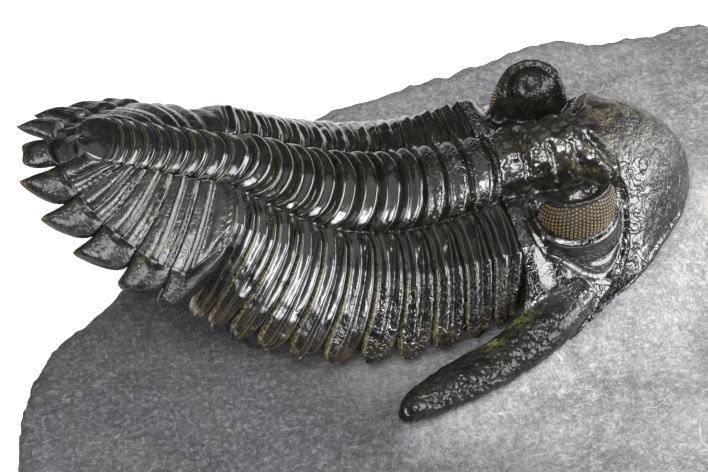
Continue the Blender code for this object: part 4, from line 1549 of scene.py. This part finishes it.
    def build(self, finish: bpy.types.Material) -> None:
        """Build and dress the tail as one piece.

        Args:
            finish: Its finish.
        """
        all_points, all_faces, used = [], [], 0
        painted = (Mask.TAN, Mask.BROWN, Mask.WORMS, Mask.BEADS, Mask.DULL, Mask.MATT)
        masks: dict[Mask, list[np.ndarray]] = {mask: [] for mask in painted}
        bodies = []
        for rib in range(len(self.tips)):
            grid, across, along, upper = self.rib_body(rib)
            for sign in (-1.0, 1.0):
                sag = self.left_sag * bell(along, 0.50, 0.25)
                sag = (sign > 0) * (sag + self.left_tip_sags[rib] * smooth_step(0.40, 0.80, along))
                sagged = grid * np.array([1.0, sign, 1.0]) - sag[..., None] * np.array([0.0, 0.0, 1.0])
                bodies.append((sagged, across, along, upper, sign < 0))
        bodies.append((*self.rib_body(len(self.tips)), False))
        for grid, across, along, upper, mirrored in bodies:
            points = BACK.bend(grid + np.array([BACK.length, 0.0, 0.0]))
            normals = grid_normals(points)
            if not mirrored:
                normals = -normals
            flat, out = points.reshape(-1, 3), normals.reshape(-1, 3)
            free = smooth_step(0.58, 0.68, along).ravel()
            rough = 0.025 * NOISE.layers(flat, 1.3, 3)
            flat = flat + out * (rough * (upper.ravel() > 0))[:, None]
            rows, size = grid.shape[:2]
            faces = quads(rows, size, loop=True)
            ends = np.arange(size)[None], (rows - 1) * size + np.arange(size)[None, ::-1]
            if not mirrored:
                faces, ends = faces[:, ::-1], tuple(end[:, ::-1] for end in ends)
            all_points.append(flat)
            all_faces += [faces + used, *(end + used for end in ends)]
            used += len(flat)
            edge = np.abs(2 * across - 1)
            tip = smooth_step(0.93, 1.0, along)
            rim = smooth_step(0.95, 1.0, edge) * smooth_step(0.6, 0.7, along)
            spots = smooth_step(0.5, 0.8, NOISE.layers(flat, 1.6, 2)).reshape(edge.shape)
            line = bell(across, 0.07, 0.03) * (along < 0.62)
            masks[Mask.TAN].append((0.30 * tip + 0.12 * rim + 0.14 * spots + 0.15 * line).ravel())
            masks[Mask.BROWN].append((0.7 * tip + 0.6 * rim + 0.3 * spots).ravel())
            masks[Mask.WORMS].append(0.10 * (1 - free))
            masks[Mask.BEADS].append(0.9 * free)
            masks[Mask.DULL].append(0.25 * free)
            masks[Mask.MATT].append(0.40 + 0.30 * free)
        grid, edge = self.axis_body()
        points = BACK.bend(grid + np.array([BACK.length, 0.0, 0.0]))
        normals = -grid_normals(points).reshape(-1, 3)
        flat = points.reshape(-1, 3)
        flat = flat + normals * (0.022 * NOISE.layers(flat, 0.9, 2))[:, None]
        all_points.append(flat)
        all_faces.append(quads(*grid.shape[:2]) + used)
        for mask, share in zip(painted, (0.20, 0.20, 0.0, 0.0, 0.0, 0.0)):
            masks[mask].append(share * edge.ravel())
        joined = {mask: np.concatenate(values) for mask, values in masks.items()}
        piece = make_piece("tail_shield", np.concatenate(all_points), all_faces, finish, joined)
        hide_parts("pygidium")


SLAB_CORNERS = (
    (30.4, 20.4), (27.9, 21.6), (24.3, 20.9), (19.0, 21.0), (13.8, 22.9), (2.0, 20.9), (-8.8, 20.1),
    (-13.5, 18.4), (-23.0, 15.0), (-30.5, 10.5), (-34.7, 3.4), (-37.6, 0.9), (-42.4, -1.9), (-44.9, -5.2),
    (-46.5, -9.2), (-47.6, -13.6), (-47.0, -22.0), (-42.0, -31.0), (-30.0, -36.5), (-12.0, -39.5),
    (6.0, -40.5), (22.0, -38.0), (32.0, -31.0), (36.5, -19.0), (37.6, -4.0), (37.0, 8.0), (34.0, 16.5),
)


@dataclass
class RockSlab:
    """The limestone slab, risen where it meets the shell, and the rock left under the shell."""

    form: HeadForm
    thickness: float = 22.0
    around: int = 640
    rings: int = 88
    chip_depth: float = 0.13
    chip_inset: float = 0.15
    edge_wear: float = 0.9
    side_depth: float = 0.42
    core_span: float = 2.55

    def outline(self) -> np.ndarray:
        """Outline of the slab seen from above, with small chips.

        Returns:
            Its points, one in a row.
        """
        corners = np.array(SLAB_CORNERS)
        closed = np.vstack([corners, corners[:1]])
        reach = np.concatenate(([0.0], np.cumsum(np.linalg.norm(np.diff(closed, axis=0), axis=1))))
        spots = np.linspace(0.0, reach[-1], self.around, endpoint=False)
        line = np.stack([np.interp(spots, reach, closed[:, k]) for k in range(2)], axis=1)
        flat = np.column_stack([line, np.zeros(len(line))])
        chips = self.chip_depth * NOISE.layers(flat, 2.0, 4, 0.75)
        outward = line - line.mean(axis=0)
        outward /= np.linalg.norm(outward, axis=1)[:, None]
        return line + outward * (chips - self.chip_inset)[:, None]

    def top(self, x: np.ndarray, y: np.ndarray) -> np.ndarray:
        """Height of the slab's upper face without the rises."""
        swell = 0.16 * np.sin(0.21 * x + 0.6) + 0.12 * np.sin(0.33 * y + 0.13 * x) - 0.12
        return ROCK_FLOOR + swell

    def shell_foot(self) -> tuple[np.ndarray, np.ndarray]:
        """Where the rock rises to meet the head's margin and the spine.

        Returns:
            The plan places and the height that the rock has there.
        """
        sides = np.linspace(-self.form.genal_side, self.form.genal_side, 160)
        edge = self.form.margin_x(sides)
        margin = np.stack([edge, sides, self.form.margin_z(edge)], axis=1)
        rows = through_points(SPINE_RUN, np.linspace(0.1, 0.97, 60))
        spine = np.concatenate([
            np.stack([rows[:, 0], -rows[:, 1] + shift * rows[:, 3], rows[:, 2] - rows[:, 4] * 0.75], axis=1)
            for shift in (-0.6, 0.0, 0.6)])
        points = BACK.on_head(np.concatenate([margin, spine]))
        return points[:, :2], points[:, 2] - 0.05

    def height(self, x: np.ndarray, y: np.ndarray) -> np.ndarray:
        """Height of the rock's upper face, risen to the head's margin.

        Args:
            x: Places in the head frame.
            y: Places in the head frame.

        Returns:
            The height at each place.
        """
        base = self.top(x, y)
        foot, level = self.shell_foot()
        flat = np.stack([x.ravel(), y.ravel()], axis=1)
        rise = np.zeros(len(flat))
        for start in range(0, len(flat), 8000):
            part = flat[start:start + 8000]
            gap = np.linalg.norm(part[:, None] - foot[None], axis=2)
            nearest = gap.argmin(axis=1)
            near = gap[np.arange(len(part)), nearest]
            target = level[nearest] - ROCK_FLOOR
            reach = 1.6 + 1.7 * np.maximum(target, 0.0)
            falls = smooth_step(0.0, 1.0, (near - 0.1) / reach)
            rise[start:start + 8000] = np.maximum(target, 0.0) * (1.0 - falls) ** 1.5
        return base + rise.reshape(x.shape)

    def slab_body(self) -> tuple[np.ndarray, np.ndarray]:
        """Slab without the rock left under the shell.

        Returns:
            Points and faces.
        """
        line = self.outline()
        middle = line.mean(axis=0)
        inner = np.linspace(0.004, 1.0, self.rings)
        plan = middle + (line - middle)[None] * inner[:, None, None]
        x, y = plan[..., 0], plan[..., 1]
        z = self.height(x, y)
        flat = np.stack([x.ravel(), y.ravel(), z.ravel()], axis=1)
        rough = 0.10 * NOISE.layers(flat, 4.5, 4, 0.55) + 0.03 * NOISE_TWO.layers(flat, 0.9, 2)
        worn = 0.5 + 0.6 * NOISE_TWO.layers(flat, 2.6, 3)
        worn = smooth_step(0.965, 1.0, inner)[:, None] * worn.reshape(z.shape)
        z = z + rough.reshape(z.shape) - np.maximum(worn, 0.0) * self.edge_wear
        upper = np.stack([x, y, z], axis=-1)
        drops = np.linspace(0.06, 1.0, 34)
        spread = ease_through(((0.0, 1.0), (0.25, 1.012), (0.6, 0.998), (1.0, 0.955)), drops)
        side_plan = middle + (line - middle)[None] * spread[:, None, None]
        side_z = z[-1][None] + (ROCK_FLOOR - self.thickness - z[-1][None]) * drops[:, None]
        side = np.concatenate([side_plan, side_z[..., None]], axis=-1)
        broken = NOISE.layers(side.reshape(-1, 3) * np.array([1, 1, 1.6]), 3.2, 4, 0.6).reshape(side_z.shape)
        outward = (line - middle) / np.linalg.norm(line - middle, axis=1)[:, None]
        hold = np.minimum(drops * 6, 1.0) * (drops < 0.999)
        side[..., :2] += outward[None] * (broken * self.side_depth * hold[:, None])[..., None]
        under = middle + (side[-1, :, :2] - middle)[None] * np.linspace(0.97, 0.01, 6)[:, None, None]
        under_z = np.full((*under.shape[:2], 1), ROCK_FLOOR - self.thickness)
        loops = [upper, side, np.concatenate([under, under_z], axis=-1)]
        grid = np.concatenate(loops)
        return grid.reshape(-1, 3), quads(*grid.shape[:2], loop=True)

    def core_body(self) -> tuple[np.ndarray, np.ndarray]:
        """Rock left under the thorax and the front of the tail.

        Returns:
            Points and faces.
        """
        behind = np.linspace(-1.5, BACK.length + 3.2, 120)
        across = np.linspace(-self.core_span, self.core_span, 121)
        b, w = np.meshgrid(behind, across, indexing="ij")
        narrow = 1.0 - 0.38 * smooth_step(BACK.length - 4.0, BACK.length + 4.0, b)
        lower = 1.8 * smooth_step(BACK.length - 2.0, BACK.length + 1.2, b)
        top = shell_points(b - SECTION.sweep(w * narrow), w * narrow, -1.05 - lower)
        foot_left = top[:, -1:] * np.array([1, 1, 0]) + np.array([0, 0.5, -12.0])
        foot_right = top[:, :1] * np.array([1, 1, 0]) + np.array([0, -0.5, -12.0])
        loops = np.concatenate([foot_right, top, foot_left], axis=1)
        points, faces = close_loft(loops)
        points = points + (0.12 * NOISE.layers(points, 1.6, 3))[:, None]
        return points, faces

    def build(self, finish: bpy.types.Material) -> None:
        """Build and dress the rock as one piece.

        Args:
            finish: Its finish.
        """
        slab_points, slab_faces = self.slab_body()
        core_points, core_faces = self.core_body()
        points = np.concatenate([slab_points, core_points])
        # Painted shade on the rock: darker towards the left and near end, partly the rock's own tone and
        # partly shade, and darker along the far side as painted shade.
        slope = 0.8 * points[:, 0] + 0.45 * points[:, 1]
        drift = NOISE.lumps(points, 8.0)
        left_tone_and_shade = 1.0 - smooth_step(-25.0, -9.0, slope + 2.5 * drift)
        far_side_shade = 0.34 * smooth_step(9.0, 17.0, points[:, 1] + 1.5 * drift)
        masks = {Mask.DARK_END_AND_SHADE: np.maximum(left_tone_and_shade, far_side_shade)}
        faces = [slab_faces, core_faces + len(slab_points)]
        piece = make_piece("limestone_slab", points, faces, finish, masks)
        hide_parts("rock_matrix")


@dataclass
class Softbox:
    """Rectangular light aimed at the fossil."""

    name: str
    towards: tuple[float, float, float]
    distance: float
    size: tuple[float, float]
    watts: float

    def place(self, target: Vector) -> None:
        """Set the light up.

        Args:
            target: Point that it faces.
        """
        lamp = bpy.data.lights.new(self.name, "AREA")
        lamp.shape = "RECTANGLE"
        lamp.size, lamp.size_y = self.size
        lamp.energy = self.watts
        item = bpy.data.objects.new(self.name, lamp)
        direction = Vector(self.towards).normalized()
        item.location = target + direction * self.distance
        item.rotation_mode = "QUATERNION"
        item.rotation_quaternion = direction.to_track_quat("Z", "Y")
        bpy.context.scene.collection.objects.link(item)


SOFTBOXES = (
    Softbox("front_softbox", (-0.25, -0.43, 0.86), 0.42, (0.26, 0.24), 3.0),
    Softbox("right_wall", (0.88, -0.41, 0.20), 0.42, (0.62, 0.38), 8.2),
    Softbox("top_softbox", (-0.25, 0.15, 1.0), 0.90, (1.25, 1.25), 4.4),
)


@dataclass
class Studio:
    """Pale floor, soft lights and the camera at the photograph's angle."""

    elevation: float = 50.1
    azimuth: float = -15.76
    distance: float = 0.230
    focal_pixels: float = 2530.0
    target_pixel: tuple[float, float] = (385.33, 195.26)
    picture: tuple[int, int] = (708, 472)
    sky: float = 0.08
    sky_colour: tuple[float, float, float, float] = (0.97, 0.98, 1.0, 1.0)
    floor_reach: float = 1.5

    def target(self) -> Vector:
        """Point on the back that the camera was fitted to."""
        return Vector((HEAD_PLACE + np.array([-10.0, 0.0, 0.0])) * MM)

    def set_camera(self) -> None:
        """Place the camera where the photograph was taken."""
        height, turn = math.radians(self.elevation), math.radians(self.azimuth)
        flat = math.cos(height)
        back = Vector((math.sin(turn) * flat, -math.cos(turn) * flat, math.sin(height)))
        right = Vector((math.cos(turn), math.sin(turn), 0.0))
        up = back.cross(right)
        shift_x = (self.picture[0] / 2 - self.target_pixel[0]) / self.focal_pixels
        shift_y = (self.target_pixel[1] - self.picture[1] / 2) / self.focal_pixels
        look = (-back + right * shift_x + up * shift_y).normalized()
        level = up.cross(-look).normalized()
        lens = bpy.data.cameras.new("photo_camera")
        lens.sensor_width = 36.0
        lens.lens = lens.sensor_width * self.focal_pixels / self.picture[0]
        lens.clip_start = 0.01
        camera = bpy.data.objects.new("photo_camera", lens)
        axes = Matrix((level, (-look).cross(level), -look)).transposed().to_4x4()
        axes.translation = self.target() + back * self.distance
        camera.matrix_world = axes
        bpy.context.scene.collection.objects.link(camera)
        bpy.context.scene.camera = camera

    def set_floor(self) -> None:
        """Lay the pale card."""
        corners = np.array([[-1, -1, 0], [1, -1, 0], [1, 1, 0], [-1, 1, 0]]) * self.floor_reach
        mesh = new_mesh("pale_floor", corners, [np.array([[0, 1, 2, 3]])])
        mesh.materials.append(PaleCard().material())
        floor = bpy.data.objects.new("pale_floor", mesh)
        bpy.context.scene.collection.objects.link(floor)

    def set_lights(self) -> None:
        """Set up the soft surround and the softboxes."""
        world = bpy.data.worlds.new("soft_surround")
        world.use_nodes = True
        background = world.node_tree.nodes["Background"]
        background.inputs["Color"].default_value = self.sky_colour
        background.inputs["Strength"].default_value = self.sky
        bpy.context.scene.world = world
        for box in SOFTBOXES:
            box.place(self.target())

    def build(self) -> None:
        """Set up the whole studio."""
        self.set_camera()
        self.set_floor()
        self.set_lights()
        bpy.context.scene.view_settings.view_transform = "Standard"


def main() -> None:
    """Build every piece in order."""
    logging.basicConfig(level=logging.INFO, format="%(message)s")
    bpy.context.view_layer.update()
    Studio().build()
    form = HeadForm()
    head_finish = GlossyShell("head_shell_gloss").material()
    thorax_finish = GlossyShell("thorax_shell_gloss", polish=(0.11, 0.27), grain_depth=0.016).material()
    tail_finish = GlossyShell("tail_shell_gloss", olive=(0.0112, 0.0112, 0.0104), polish=(0.13, 0.29),
                              grain_depth=0.016).material()
    RockSlab(form).build(Limestone().material())
    Cephalon(form).build(head_finish, LensFinish().material())
    Thorax().build(thorax_finish)
    Pygidium().build(tail_finish)


if __name__ == "__main__":
    main()
